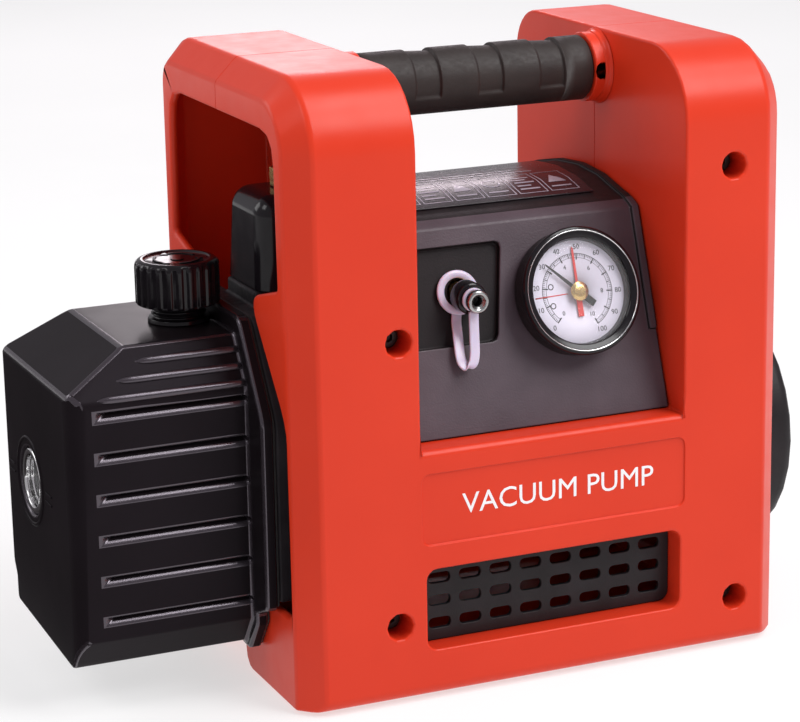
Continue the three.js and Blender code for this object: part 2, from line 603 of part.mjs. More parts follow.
function addPort() {
  addPart('port_fitting', join(
    turned([[0, -14], [4.8, -14], [4.8, -2.2], [0, -2.2]], 20),
    prism(hexagon(0, 0, 13), 'z', -13, -10, 1),
    turned([[0, -3], [5, -3], [5, 3.4], [3.6, 3.8], [3.6, 9.5], [0, 9.5]], 20),
  ), brass, port);
  addPart('port_cap_ring', turned(ringProfile(3.9, 5.8, 13.1, 14.7), 24), clearPlastic, port);
  const capBody = turned([
    [3.9, 4.2], [6.8, 4.2], [7.2, 5], [7.2, 12], [6.4, 12.8], [3.6, 12.8], [3.6, 16.7],
    [2.2, 16.7], [2.2, 13.5], [0, 13.5], [0, 10.4], [3.9, 10.4], [3.9, 4.2],
  ], 20);
  addPart('port_cap', capBody, glossBlack, port);
  addPart('port_cap_end', turned([
    [2.2, 17], [4.8, 17], [5.2, 17.6], [5.2, 19.2], [4.6, 19.8], [2.8, 19.8], [2.2, 19.2], [2.2, 17],
  ], 20), chrome, port);
  const path = new THREE.CatmullRomCurve3([
    [0, -7.6, 2.7], [-0.7, -12, 6.2], [-1.3, -18, 11], [-1.2, -24, 14.8], [-0.4, -28.6, 16.6],
    [0.6, -30.8, 18.6], [1.3, -28.4, 20.4], [1.4, -20, 19], [1, -12.5, 16], [0.3, -8.4, 14],
  ].map((point) => new THREE.Vector3(...point)));
  const section = new THREE.Shape([[-1.9, -0.6], [1.9, -0.6], [1.9, 0.6], [-1.9, 0.6]]
    .map(([x, y]) => new THREE.Vector2(x, y)));
  const band = toSolid(new THREE.ExtrudeGeometry(section, { steps: 26, extrudePath: path }));
  const eyelet = turned(ringProfile(5.4, 8.6, 2.1, 3.3), 24);
  addPart('port_strap', join(band, eyelet), clearPlastic, port);
}

// ---- Oil tank -----------------------------------------------------------------------------

function tankSection(inset) {
  const top = TANK_TOP - inset;
  const low = TANK_BOTTOM + inset;
  const shoulder = GROOVE_TOP + 3;
  return easedPolygon([
    [-33 + inset, low, 2], [TANK_REAR_FOOT - inset, low + 5, 3], [TANK_REAR_FOOT - inset, 38, 1],
    [TANK_REAR - inset, 48, 1], [TANK_REAR - inset, shoulder, 2], [46 - inset, top, 2],
    [-31 + inset / 2, top, 2], [-TANK_FRONT + inset, shoulder, 2], [-TANK_FRONT + inset + 1, low + 15, 1],
  ]);
}

function tankPlan(inset) {
  return roundedRect(TANK_END + inset, TANK_X1 + 5, -TANK_FRONT + inset, TANK_REAR - inset,
    [9 - inset / 2, 0, 0, 4 - inset / 2]);
}

// Looking along Y: the top slopes down to the end face
function tankSideView(inset) {
  const end = TANK_END + inset;
  return easedPolygon([
    [end, TANK_BOTTOM - 5, 0], [TANK_X1 + 9, TANK_BOTTOM - 5, 0], [TANK_X1 + 9, TANK_TOP + 5, 0],
    [end + 38, TANK_TOP + 5 - inset, 0], [end, 147 - inset * 0.7, 3],
  ]);
}

function tankBlock(inset) {
  return prism(tankSection(inset), 'x', TANK_END, TANK_X1, 3)
    .intersect(prism(tankPlan(inset), 'z', 0, 200, 5))
    .intersect(prism(tankSideView(inset), 'y', -70, 70, 4));
}

// The flange that closes on the gasket, wider than the tank and stepped in at its foot
function flangeShape(grow) {
  const side = [
    [31 + grow, 19 - grow, 2], [37 + grow, 32 - grow, 1], [46 + grow, 38 - grow, 1],
    [60.5 + grow, 44 - grow, 2], [61 + grow, 131 + grow, 4], [35 + grow, 172 + grow, 4],
  ];
  return easedPolygon(bothSides(side));
}

// A groove in the front, cut square above and sloping out below, with a pointed end
function grooveCutter(z) {
  const face = -TANK_FRONT;
  const start = TANK_END + 12;
  const end = TANK_X1 - 3;
  const section = new THREE.Shape([
    [face - 4, -3.2], [face + 3.4, 2.6], [face + 3.4, 3.2], [face - 4, 3.2],
  ].map(([x, y]) => new THREE.Vector2(x, y + z)));
  const point = new THREE.Shape([
    [start, face], [start + 10, face + 8], [end, face + 8], [end, face - 6], [start, face - 6],
  ].map(([x, y]) => new THREE.Vector2(x, y)));
  return prism(section, 'x', start, end - 0.5, 1).intersect(prism(point, 'z', z - 8, z + 8, 1));
}

function addTank() {
  const grooves = Array.from({ length: GROOVES },
    (_, i) => grooveCutter(GROOVE_TOP - 4 - i * GROOVE_PITCH));
  const rearGrooves = grooves.slice(0, -1).map((g) => moved(mirroredY(g), 0, TANK_REAR - TANK_FRONT, 0));
  const flange = join(prism(flangeShape(0), 'x', TANK_X1 - 5.5, TANK_X1, 3),
    prism(tankSection(-TANK_RIM), 'x', TANK_X1 - 5.5, TANK_X1, 3));
  const cavity = tankBlock(TANK_WALL + 2);
  const opening = prism(tankSection(TANK_WALL + 2), 'x', TANK_X1 - 20, TANK_X1 + 1, 3);
  const sightHole = rodX(15.5, TANK_END - 1, TANK_END + 12, SIGHT_Y, SIGHT_Z, 24);
  const sightRim = rodX(19, TANK_END + 1, TANK_END + 9, SIGHT_Y, SIGHT_Z, 24);
  const fillerHole = rodZ(9, TANK_TOP - 12, TANK_TOP + 2, FILLER_X, FILLER_Y, 16);
  const drainHole = rodY(6, TANK_REAR - 20, TANK_REAR + 2, DRAIN_X, DRAIN_Z, 12);
  const drainBoss = rodY(9.5, TANK_REAR - 12, TANK_REAR, DRAIN_X, DRAIN_Z, 16);
  const body = cut(join(cut(tankBlock(0), ...grooves, ...rearGrooves), flange), cavity, opening);
  const tank = cut(join(body, sightRim, drainBoss), sightHole, fillerHole, drainHole);
  addPart('oil_tank', tank, glossBlack);
  const sheet = [TANK_X1 + GAP, TANK_X1 + GAP + 0.8];
  const gasket = cut(join(prism(flangeShape(-1), 'x', ...sheet, 3),
    prism(tankSection(1 - TANK_RIM), 'x', ...sheet, 3)),
  prism(tankSection(TANK_WALL + 2), 'x', TANK_X1 - 1, TANK_X1 + 3, 3));
  addPart('tank_gasket', gasket, gasketPaper);
}

function addSightGlass() {
  const x = TANK_END;
  const ring = laidAlongX(turned([
    [12.2, 0.8], [15.1, 0.8], [15.1, 7.6], [11.2, 7.6], [11.2, 3.8], [12.2, 2.4], [12.2, 0.8],
  ], 24));
  addPart('sight_glass_ring', moved(ring, x, SIGHT_Y, SIGHT_Z), chrome);
  const lens = laidAlongX(turned([[0, 4.2], [10.9, 4.2], [10.9, 7], [0, 7]], 32));
  addPart('sight_glass_lens', moved(lens, x, SIGHT_Y, SIGHT_Z), glass);
  const plug = cut(join(turned([[0, -12], [5.6, -12], [5.6, 0.6], [0, 0.6]], 20),
    prism(hexagon(0, 0, 14), 'z', 0.5, 5, 1)), prism(hexagon(0, 0, 6), 'z', 2.5, 6, 1));
  addPart('drain_plug', moved(plug.rotate([-90, 0, 0]), DRAIN_X, TANK_REAR + 0.2, DRAIN_Z), brass);
}

// ---- Filler and exhaust cap ---------------------------------------------------------------

const filler = new THREE.Group();
filler.position.set(FILLER_X, FILLER_Y, TANK_TOP);
pump.add(filler);

function addFiller() {
  addPart('filler_neck', turned([
    [6.4, -5], [8.7, -5], [8.7, GAP], [13.6, GAP], [13.6, 2], [11.4, 2.6], [11.4, 3.6], [12.2, 4.2],
    [11.4, 4.8], [11.4, 6.4], [12.2, 7], [11.4, 7.6], [11.4, 17], [6.4, 17], [6.4, -5],
  ], 18), blackPlastic, filler);
  addPart('filler_seal', turned(ringProfile(6.5, 12.6, 17.3, 18.6), 20), rubber, filler);
  const corners = 4 * CAP_FLUTES;
  const outline = new THREE.Shape(Array.from({ length: corners }, (_, i) => {
    const angle = i * 2 * Math.PI / corners;
    const radius = i % 4 < 2 ? 18.8 : 17.7;
    return new THREE.Vector2(radius * Math.cos(angle), radius * Math.sin(angle));
  }));
  const envelope = turned([
    [0, 8.6], [18.2, 8.6], [18.9, 9.6], [18.9, 26.4], [17.4, 28.6], [15.5, 29.2], [14.2, 28.6],
    [0, 28.6],
  ], 28);
  const cap = cut(prism(outline, 'z', 8.6, 29.2, 1).intersect(envelope),
    turned([[0, 8], [13, 8], [13, 18.9], [0, 18.9]], 28));
  addPart('filler_cap', cap, blackPlastic, filler);
}

// ---- Inlet manifold -----------------------------------------------------------------------

function addManifold() {
  const side = easedPolygon([
    [-MANIFOLD_HALF, MANIFOLD_Z0, 2], [MANIFOLD_HALF, MANIFOLD_Z0, 2],
    [MANIFOLD_HALF - 3, MANIFOLD_Z1, 11], [-MANIFOLD_HALF + 3, MANIFOLD_Z1, 11],
  ]);
  const face = easedPolygon([
    [MANIFOLD_X0, MANIFOLD_Z0, 1], [MANIFOLD_X1, MANIFOLD_Z0, 1], [MANIFOLD_X1 - 1, MANIFOLD_Z1, 4],
    [MANIFOLD_X0 + 4, MANIFOLD_Z1, 5],
  ]);
  const block = prism(side, 'x', MANIFOLD_X0, MANIFOLD_X1, 5)
    .intersect(prism(face, 'y', -40, 40, 4))
    .intersect(prism(roundedRect(MANIFOLD_X0, MANIFOLD_X1, -MANIFOLD_HALF, MANIFOLD_HALF, 5),
      'z', 150, 240, 4));
  const passages = join(rodZ(6.3, 192, MANIFOLD_Z1 + 2, FITTING_X, 0, 12),
    rodX(5.2, FITTING_X, MANIFOLD_X1 + 2, PIPE_Y, PIPE_Z, 10));
  addPart('inlet_manifold', cut(block, passages), glossBlack);
  const fitting = join(
    turned([[0, -10], [6, -10], [6, 1], [0, 1]], 20),
    prism(hexagon(0, 0, 15), 'z', GAP, 9, 1),
    turned([[0, 8], [5.4, 8], [5.4, 12], [4.4, 13], [0, 13]], 20),
  );
  addPart('inlet_fitting', moved(fitting, FITTING_X, 0, MANIFOLD_Z1), brass);
  const pipe = laidAlongX(turned(ringProfile(3.2, 4.8, 0, 92), 16));
  addPart('manifold_pipe', moved(pipe, FITTING_X + 9, PIPE_Y, PIPE_Z), copper);
}

// ---- Pump ---------------------------------------------------------------------------------

const PUMP_X0 = -190;
const PUMP_X1 = -128;
const STATOR_RADIUS = 30;
const CHAMBER_RADIUS = 22;
const ROTOR_RADIUS = 18.5;
const CHAMBER_DROP = 3;          // the chamber's axis lies below the shaft
const PLATE = 6;
const PUMP_FLANGE_X = TANK_X1 + 1.4;

function addBracket() {
  const plate = cut(prism(flangeShape(-1.5), 'x', PUMP_FLANGE_X, PUMP_FLANGE_X + 9.9, 3),
    box(-125, -105, -70, 70, 0, 46));
  const neck = rodX(36, -112, -60, 0, SHAFT_Z, 24);
  const motorFlange = rodX(MOTOR_RADIUS, -62, -56.5, 0, SHAFT_Z, 32);
  const riser = box(-112, -84, -18, 18, 110, MANIFOLD_Z0 - GAP);
  const couplingSpace = rodX(26, -105, -50, 0, SHAFT_Z, 20);
  const shaftHole = rodX(8, -130, -100, 0, SHAFT_Z, 16);
  const window = box(-96, -72, -60, 60, SHAFT_Z - 10, SHAFT_Z + 12);
  const manifoldPort = rodZ(5, 140, 190, -98, 0, 10);
  const bracket = join(plate, neck, motorFlange, riser);
  addPart('pump_bracket', cut(bracket, couplingSpace, shaftHole, window, manifoldPort), castMetal);
}

function addPump() {
  const round = rodX(STATOR_RADIUS, PUMP_X0, PUMP_X1, 0, SHAFT_Z, 28);
  const shaftHole = rodX(SHAFT_RADIUS + 0.7, PUMP_X0 - 1, PUMP_X1 + 1, 0, SHAFT_Z, 16);
  const chamber = rodX(CHAMBER_RADIUS, PUMP_X0 - 1, PUMP_X1 - PLATE, 0, SHAFT_Z - CHAMBER_DROP, 24);
  const split = PUMP_X0 + PLATE;
  const endPlate = round.intersect(box(PUMP_X0, split - GAP, -40, 40, 40, 130));
  const stator = round.intersect(box(split, PUMP_X1, -40, 40, 40, 130));
  addPart('pump_end_plate', cut(endPlate, shaftHole), darkSteel);
  addPart('pump_stator', cut(stator, shaftHole, chamber), darkSteel);
  const x0 = split + 0.6;
  const x1 = PUMP_X1 - PLATE - 0.6;
  const slots = [1, -1].map((side) => box(x0 - 1, x1 + 1, -1.6, 1.6, SHAFT_RADIUS + 1.2, 30)
    .rotate([side > 0 ? 0 : 180, 0, 0]).translate([0, 0, SHAFT_Z]));
  const rotor = cut(rodX(ROTOR_RADIUS, x0, x1, 0, SHAFT_Z, 24),
    rodX(SHAFT_RADIUS + GAP, x0 - 1, x1 + 1, 0, SHAFT_Z, 16), ...slots);
  addPart('pump_rotor', rotor, steel);
  ['a', 'b'].forEach((name, i) => {
    const vane = box(x0 + GAP, x1 - GAP, -1.3, 1.3, SHAFT_RADIUS + 1.6, ROTOR_RADIUS - 0.2);
    addPart(`pump_vane_${name}`, moved(vane.rotate([i * 180, 0, 0]), 0, 0, SHAFT_Z), gasketPaper);
  });
}

// ---- Motor --------------------------------------------------------------------------------

function addMotor() {
  const fins = [];
  for (let i = 0; i < MOTOR_FINS; i += 1) {
    const fin = box(MOTOR_X0 + 8, MOTOR_X1 - 8, -1.3, 1.3, MOTOR_RADIUS - 5, MOTOR_RADIUS);
    fins.push(fin.rotate([i * 360 / MOTOR_FINS, 0, 0]).translate([0, 0, SHAFT_Z]));
  }
  const tube = join(rodX(MOTOR_RADIUS - 4, MOTOR_X0, MOTOR_X1, 0, SHAFT_Z, 32), ...fins,
    rodX(MOTOR_RADIUS, MOTOR_X0 - 6, MOTOR_X0 + 2, 0, SHAFT_Z, 32));
  const bore = join(rodX(42.4, MOTOR_X0, MOTOR_X1 - 5, 0, SHAFT_Z, 28),
    rodX(BEARING_RADIUS + GAP, MOTOR_X0 - 8, MOTOR_X1 + 4, 0, SHAFT_Z, 20));
  addPart('motor_housing', cut(tube, bore), castMetal);
  const ring = (inner, outer, x0, x1) => cut(
    rodX(outer, x0, x1, 0, SHAFT_Z, 18), rodX(inner, x0 - 1, x1 + 1, 0, SHAFT_Z, 18));
  const laminations = ring(24.5, 41.6, STACK_X0, STACK_X1);
  const windings = ring(26, 39, STACK_X0 - 14, STACK_X1 + 14);
  addPart('motor_stator', join(laminations, windings), copper);
  const bearing = (x) => ring(SHAFT_RADIUS + GAP, BEARING_RADIUS, x, x + 8);
  addPart('bearing_front', bearing(MOTOR_X0 - 5.5), steel);
  addPart('bearing_rear', bearing(MOTOR_X1 - 6.5), steel);
  const shaft = join(rodX(SHAFT_RADIUS, PUMP_X0 + 2, 126, 0, SHAFT_Z, 14),
    rodX(23.8, STACK_X0, STACK_X1, 0, SHAFT_Z, 24));
  addPart('rotor_shaft', shaft, steel);
  const coupling = cut(join(rodX(15, -99, -84, 0, SHAFT_Z, 20), rodX(18, -84, -76, 0, SHAFT_Z, 20)),
    rodX(SHAFT_RADIUS + GAP, -101, -70, 0, SHAFT_Z, 14));
  addPart('shaft_coupling', coupling, steel);
}

function addFan() {
  const blades = [];
  for (let i = 0; i < FAN_BLADES; i += 1) {
    const blade = box(-6, 6, -1.2, 1.2, 12, 44).rotate([0, 0, 24]);
    blades.push(blade.rotate([i * 360 / FAN_BLADES, 0, 0]));
  }
  const hub = laidAlongX(turned(ringProfile(SHAFT_RADIUS + GAP, 15, -7, 7), 24));
  addPart('motor_fan', moved(join(hub, ...blades), FAN_X, 0, SHAFT_Z), blackPlastic);
}

// Domed end cover with radial air slots
function addCover() {
  const skin = laidAlongX(turned([
    [COVER_RADIUS - 3, COVER_START], [COVER_RADIUS, COVER_START], [COVER_RADIUS, COVER_END - 7],
    [COVER_RADIUS - 1.4, COVER_END - 3], [COVER_RADIUS - 5, COVER_END - 0.6],
    [COVER_RADIUS - 13, COVER_END], [0, COVER_END], [0, COVER_END - 3],
    [COVER_RADIUS - 12, COVER_END - 3], [COVER_RADIUS - 5, COVER_END - 4.5],
    [COVER_RADIUS - 3, COVER_END - 8], [COVER_RADIUS - 3, COVER_START],
  ], 28));
  const slot = prism(roundedRect(14, 34, -2, 2, 1.5), 'z', COVER_END - 8, COVER_END + 4, 2);
  const slots = [];
  for (let i = 0; i < AIR_SLOTS; i += 1) {
    slots.push(laidAlongX(slot.rotate([0, 0, i * 360 / AIR_SLOTS])));
  }
  addPart('motor_end_cover', moved(cut(skin, ...slots), 0, 0, SHAFT_Z), blackPlastic);
}

buildFrame();
addFeet();
addShellScrews();
addGrilles();
addHandle();
addHousing();
addPowerControls();
addGauge();
addPort();
addTank();
addSightGlass();
addFiller();
addManifold();
addBracket();
addPump();
addMotor();
addFan();
addCover();

export default pump;
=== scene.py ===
"""Looks of the rotary vane vacuum pump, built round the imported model.

What the frame doesn't say is a number here, such as an offset from a box or the places of the
shells' cuts. Named lengths are millimetres unless they end in _M. The card's and the lights' places
are metres.
"""

import json
import math

import bmesh
import bpy
from mathutils import Matrix, Vector
from mathutils.bvhtree import BVHTree

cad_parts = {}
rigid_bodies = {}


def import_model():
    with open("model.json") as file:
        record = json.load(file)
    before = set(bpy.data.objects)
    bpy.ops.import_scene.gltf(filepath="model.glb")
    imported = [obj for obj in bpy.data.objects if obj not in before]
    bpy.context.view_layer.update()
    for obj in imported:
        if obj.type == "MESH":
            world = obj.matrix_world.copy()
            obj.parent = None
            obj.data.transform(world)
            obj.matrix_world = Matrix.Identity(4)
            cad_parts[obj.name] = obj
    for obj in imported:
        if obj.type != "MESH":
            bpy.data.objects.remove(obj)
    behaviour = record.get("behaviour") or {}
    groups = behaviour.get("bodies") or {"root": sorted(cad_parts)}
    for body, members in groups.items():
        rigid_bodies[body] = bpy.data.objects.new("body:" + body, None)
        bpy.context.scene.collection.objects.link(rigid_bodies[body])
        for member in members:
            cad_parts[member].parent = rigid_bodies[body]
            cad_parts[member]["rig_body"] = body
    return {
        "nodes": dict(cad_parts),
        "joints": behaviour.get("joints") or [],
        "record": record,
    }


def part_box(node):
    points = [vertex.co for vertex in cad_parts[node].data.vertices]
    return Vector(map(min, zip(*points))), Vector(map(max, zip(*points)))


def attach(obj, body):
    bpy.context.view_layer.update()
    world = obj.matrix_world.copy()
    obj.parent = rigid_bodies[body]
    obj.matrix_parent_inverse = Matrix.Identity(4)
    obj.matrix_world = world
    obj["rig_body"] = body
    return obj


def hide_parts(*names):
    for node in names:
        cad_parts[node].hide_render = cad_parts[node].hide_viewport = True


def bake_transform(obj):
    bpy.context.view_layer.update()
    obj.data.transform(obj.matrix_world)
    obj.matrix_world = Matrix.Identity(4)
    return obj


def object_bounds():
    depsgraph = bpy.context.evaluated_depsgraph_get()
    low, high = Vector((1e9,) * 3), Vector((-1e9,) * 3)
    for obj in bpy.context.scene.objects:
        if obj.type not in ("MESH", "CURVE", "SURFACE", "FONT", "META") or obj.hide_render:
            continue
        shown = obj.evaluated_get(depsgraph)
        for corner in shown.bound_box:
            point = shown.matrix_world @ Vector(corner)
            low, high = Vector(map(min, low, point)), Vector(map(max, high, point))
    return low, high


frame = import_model()
cad_low, cad_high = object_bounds()

MM = 0.001
NODES = frame["nodes"]
JOINTS = {joint["name"]: joint for joint in frame["joints"]}
UP = Vector((0, 0, 1))
FASCIA_LEAN = math.asin(JOINTS["needle_turn"]["axis"][2])
FRONT = Vector((0, -1, 0))
ALONG = Vector((1, 0, 0))


def middle(node):
    low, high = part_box(node)
    return (low + high) / 2


def body_of(node):
    return NODES[node]["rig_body"]


# ---- Camera ---------------------------------------------------------------------------------

CAMERA_AZIMUTH = math.radians(-23.2)
CAMERA_ELEVATION = math.radians(15.1)
CAMERA_ROLL = math.radians(-1.1)
CAMERA_DISTANCE_M = 1.2824
CAMERA_LENS = 123.4
AIM_RIGHT_M = -0.0318
AIM_UP_M = -0.0117


def make_camera():
    low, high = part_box("front_shell")
    centre = Vector(((low.x + high.x) / 2, 0, 0.14))
    turn, rise = -CAMERA_AZIMUTH, CAMERA_ELEVATION
    ahead = Vector((math.sin(turn) * math.cos(rise), math.cos(turn) * math.cos(rise), -math.sin(rise)))
    level = Vector((math.cos(turn), -math.sin(turn), 0))
    over = level.cross(ahead)
    right = math.cos(CAMERA_ROLL) * level + math.sin(CAMERA_ROLL) * over
    top = math.cos(CAMERA_ROLL) * over - math.sin(CAMERA_ROLL) * level
    aim = centre + AIM_RIGHT_M * right + AIM_UP_M * top
    data = bpy.data.cameras.new("camera")
    data.lens = CAMERA_LENS
    data.sensor_width = 36
    data.clip_start = 0.05
    data.clip_end = 50
    camera = bpy.data.objects.new("camera", data)
    bpy.context.scene.collection.objects.link(camera)
    turned = Matrix((right, top, -ahead)).transposed().to_4x4()
    camera.matrix_world = Matrix.Translation(aim - CAMERA_DISTANCE_M * ahead) @ turned
    bpy.context.scene.camera = camera


make_camera()


# ---- Materials ------------------------------------------------------------------------------

def add_node(tree, kind, **settings):
    node = tree.nodes.new(kind)
    for key, value in settings.items():
        setattr(node, key, value)
    return node


def noise(tree, place, scale, detail=3.0, stretch=(1, 1, 1)):
    """A noise texture in object space, drawn out along the axes by `stretch`."""
    mapping = add_node(tree, "ShaderNodeMapping")
    mapping.inputs["Scale"].default_value = stretch
    tree.links.new(place.outputs["Object"], mapping.inputs["Vector"])
    texture = add_node(tree, "ShaderNodeTexNoise")
    texture.inputs["Scale"].default_value = scale
    texture.inputs["Detail"].default_value = detail
    tree.links.new(mapping.outputs["Vector"], texture.inputs["Vector"])
    return texture.outputs["Fac"]


def ramp(tree, factor, stops):
    node = add_node(tree, "ShaderNodeValToRGB")
    while len(node.color_ramp.elements) < len(stops):
        node.color_ramp.elements.new(0.5)
    for element, (position, colour) in zip(node.color_ramp.elements, stops):
        element.position = position
        element.color = (*colour, 1)
    tree.links.new(factor, node.inputs["Fac"])
    return node.outputs["Color"]


def span(tree, factor, low, high):
    node = add_node(tree, "ShaderNodeMapRange")
    node.inputs["From Min"].default_value = 0.3
    node.inputs["From Max"].default_value = 0.7
    node.inputs["To Min"].default_value = low
    node.inputs["To Max"].default_value = high
    tree.links.new(factor, node.inputs["Value"])
    return node.outputs["Result"]


def bump(tree, height, depth, strength, under=None):
    node = add_node(tree, "ShaderNodeBump")
    node.inputs["Distance"].default_value = depth * MM
    node.inputs["Strength"].default_value = strength
    tree.links.new(height, node.inputs["Height"])
    if under is not None:
        tree.links.new(under, node.inputs["Normal"])
    return node.outputs["Normal"]


def surface(name, dark, light, roughness, spread=0.05, drift=22, grain=1500, depth=0.05, strength=0.35,
            stretch=(1, 1, 1), waves=None, **sockets):
    """Principled shader. Its colour drifts between `dark` and `light`, its roughness by `spread`,
    and a fine grain of `depth` millimetres is raised on it. `waves` is a slower swell: scale, depth."""
    material = bpy.data.materials.new(name)
    material.use_nodes = True
    tree = material.node_tree
    shader = tree.nodes["Principled BSDF"]
    place = add_node(tree, "ShaderNodeTexCoord")
    slow = noise(tree, place, drift, stretch=stretch)
    tree.links.new(ramp(tree, slow, [(0.3, dark), (0.7, light)]), shader.inputs["Base Color"])
    mottle = noise(tree, place, drift * 7, stretch=stretch)
    rough = span(tree, mottle, roughness - spread, roughness + spread)
    tree.links.new(rough, shader.inputs["Roughness"])
    normal = None
    if waves:
        normal = bump(tree, noise(tree, place, waves[0], 1.0), waves[1], 0.5)
    fine = noise(tree, place, grain, 2.0, stretch)
    tree.links.new(bump(tree, fine, depth, strength, normal), shader.inputs["Normal"])
    for socket, value in sockets.items():
        shader.inputs[socket.replace("_", " ")].default_value = value
    return material


def grey(level):
    return (level, level, level)


MATERIALS = {
    "red_plastic": surface(
        "moulded_red_plastic", (0.66, 0.036, 0.011), (0.70, 0.041, 0.013), 0.34, spread=0.03, drift=14,
        grain=2600, depth=0.02, strength=0.25, waves=(26, 0.05), Specular_IOR_Level=0.25),
    "black_plastic": surface(
        "grained_black_plastic", (0.010, 0.008, 0.009), (0.017, 0.013, 0.015), 0.44, spread=0.06,
        drift=60, grain=1150, depth=0.14, strength=0.5, Specular_IOR_Level=0.25),
    "gloss_black": surface(
        "gloss_black_paint", (0.006, 0.0045, 0.006), (0.009, 0.007, 0.009), 0.16, spread=0.04, drift=20,
        grain=900, depth=0.02, strength=0.15, waves=(60, 0.06), Specular_IOR_Level=0.3),
    "painted_casting": surface(
        "gloss_black_casting", (0.008, 0.006, 0.007), (0.012, 0.009, 0.011), 0.31, spread=0.01, drift=12,
        grain=700, depth=0.02, strength=0.1, waves=(24, 0.01), Specular_IOR_Level=0.06,
        Specular_Tint=(0.95, 0.85, 1.0, 1)),
    "cast_metal": surface(
        "coated_cast_metal", (0.02, 0.018, 0.021), (0.04, 0.036, 0.04), 0.5, spread=0.1, drift=45,
        grain=520, depth=0.25, strength=0.6, Metallic=0.15, Specular_IOR_Level=0.15),
    "grip_rubber": surface(
        "grip_elastomer", (0.020, 0.014, 0.013), (0.030, 0.022, 0.020), 0.55, spread=0.07, drift=70,
        grain=1500, depth=0.12, strength=0.5, Specular_IOR_Level=0.3),
    "rubber": surface(
        "black_rubber", (0.018, 0.017, 0.017), (0.034, 0.032, 0.031), 0.75, spread=0.08, drift=80,
        grain=900, depth=0.12, strength=0.5),
    "steel": surface(
        "turned_steel", grey(0.48), grey(0.64), 0.3, spread=0.08, drift=50, grain=900, depth=0.03,
        strength=0.4, stretch=(6, 1, 1), Metallic=1.0),
    "dark_steel": surface(
        "blackened_steel", grey(0.022), grey(0.055), 0.36, spread=0.08, drift=160, grain=1200,
        depth=0.05, strength=0.4, Metallic=0.75),
    "winding": surface(
        "varnished_winding", (0.30, 0.12, 0.05), (0.52, 0.26, 0.12), 0.42, spread=0.1, drift=300,
        grain=900, depth=0.4, strength=0.8, stretch=(0.15, 1, 1), Metallic=0.7),
    "brass": surface(
        "turned_brass", (0.58, 0.37, 0.13), (0.74, 0.52, 0.22), 0.27, spread=0.07, drift=90,
        grain=1400, depth=0.03, strength=0.35, Metallic=1.0),
    "chrome": surface(
        "polished_chrome", grey(0.74), grey(0.84), 0.1, spread=0.04, drift=120, grain=900, depth=0.01,
        strength=0.2, Metallic=1.0),
    "clear_plastic": surface(
        "milky_plastic", (0.62, 0.55, 0.70), (0.70, 0.63, 0.78), 0.3, spread=0.03, drift=30,
        grain=900, depth=0.01, strength=0.15, Subsurface_Weight=0.2, Subsurface_Scale=0.002),
    "glass": surface(
        "clear_glass", grey(0.93), grey(0.97), 0.03, spread=0.01, drift=20, grain=200, depth=0.004,
        strength=0.1, Alpha=0.05),
    "white_enamel": surface(
        "printed_white_face", (0.70, 0.66, 0.78), (0.76, 0.72, 0.84), 0.4, spread=0.04, drift=60,
        grain=1400, depth=0.02, strength=0.2),
    "red_enamel": surface(
        "red_pointer_paint", (0.62, 0.02, 0.018), (0.72, 0.03, 0.025), 0.35, spread=0.04, drift=200,
        grain=1500, depth=0.02, strength=0.2),
    "needle_black": surface(
        "black_pointer_paint", grey(0.008), grey(0.014), 0.3, spread=0.05, drift=200, grain=1500,
        depth=0.02, strength=0.2, Specular_IOR_Level=0.2),
    "label_film": surface(
        "dark_label_film", (0.016, 0.011, 0.014), (0.024, 0.017, 0.022), 0.24, spread=0.04, drift=60,
        grain=1200, depth=0.02, strength=0.2, Specular_IOR_Level=0.3),
    "rocker_red": surface(
        "red_rocker", (0.5, 0.02, 0.02), (0.62, 0.035, 0.03), 0.22, spread=0.04, drift=90, grain=900,
        depth=0.02, strength=0.2, Transmission_Weight=0.15),
    "carbon": surface(
        "carbon_composite", grey(0.045), grey(0.085), 0.5, spread=0.08, drift=150, grain=800,
        depth=0.1, strength=0.5, stretch=(1, 6, 6)),
}
CASTING_EDGE = surface(
    "casting_edge_gloss", (0.012, 0.009, 0.011), (0.018, 0.014, 0.017), 0.24, spread=0.03, drift=30,
    grain=700, depth=0.02, strength=0.1, Specular_IOR_Level=1.0, Specular_Tint=(0.98, 0.88, 1.0, 1))
# Painted sheen: a lighter copy of the black plastic for the fascia, standing in for the light from above the
# front.
PAINTED_SHEEN_FASCIA = surface(
    "grained_fascia_painted_sheen", (0.066, 0.046, 0.058), (0.086, 0.062, 0.076), 0.46, spread=0.05, drift=50,
    grain=1150, depth=0.16, strength=0.6, Specular_IOR_Level=0.35)
# Painted shade: the darker copy for the port's recess and the housing faces turned from the gauge. The black
# card uses it too.
RECESS_SHADE_AND_CARD_BLACK = surface(
    "recess_shade_and_card_black", (0.012, 0.009, 0.010), (0.019, 0.014, 0.016), 0.5, spread=0.05, drift=50,
    grain=1150, depth=0.14, strength=0.5, Specular_IOR_Level=0.2)
SIGHT_DARK = surface(
    "sight_reflector", grey(0.05), grey(0.16), 0.3, spread=0.06, drift=260, grain=900, depth=0.04,
    strength=0.3, Metallic=0.6)
DULL_CHROME = surface(
    "dull_chrome", grey(0.30), grey(0.42), 0.24, spread=0.06, drift=160, grain=900, depth=0.02,
    strength=0.25, Metallic=1.0)
LABEL_PRINT = surface(
    "label_print", (0.30, 0.27, 0.33), (0.40, 0.37, 0.43), 0.3, spread=0.04, drift=120, grain=1200,
    depth=0.01, strength=0.1)
WHITE_PRINT = surface(
    "white_print", (0.84, 0.83, 0.84), (0.9, 0.89, 0.9), 0.35, spread=0.04, drift=120, grain=1200,
    depth=0.01, strength=0.1)
FLOOR_MATERIAL = surface(
    "pale_floor", grey(0.36), grey(0.38), 0.7, spread=0.05, drift=3, grain=300, depth=0.1, strength=0.1,
    Specular_IOR_Level=0.1, Emission_Color=(1, 1, 1, 1), Emission_Strength=0.62)


# ---- Mesh helpers ---------------------------------------------------------------------------

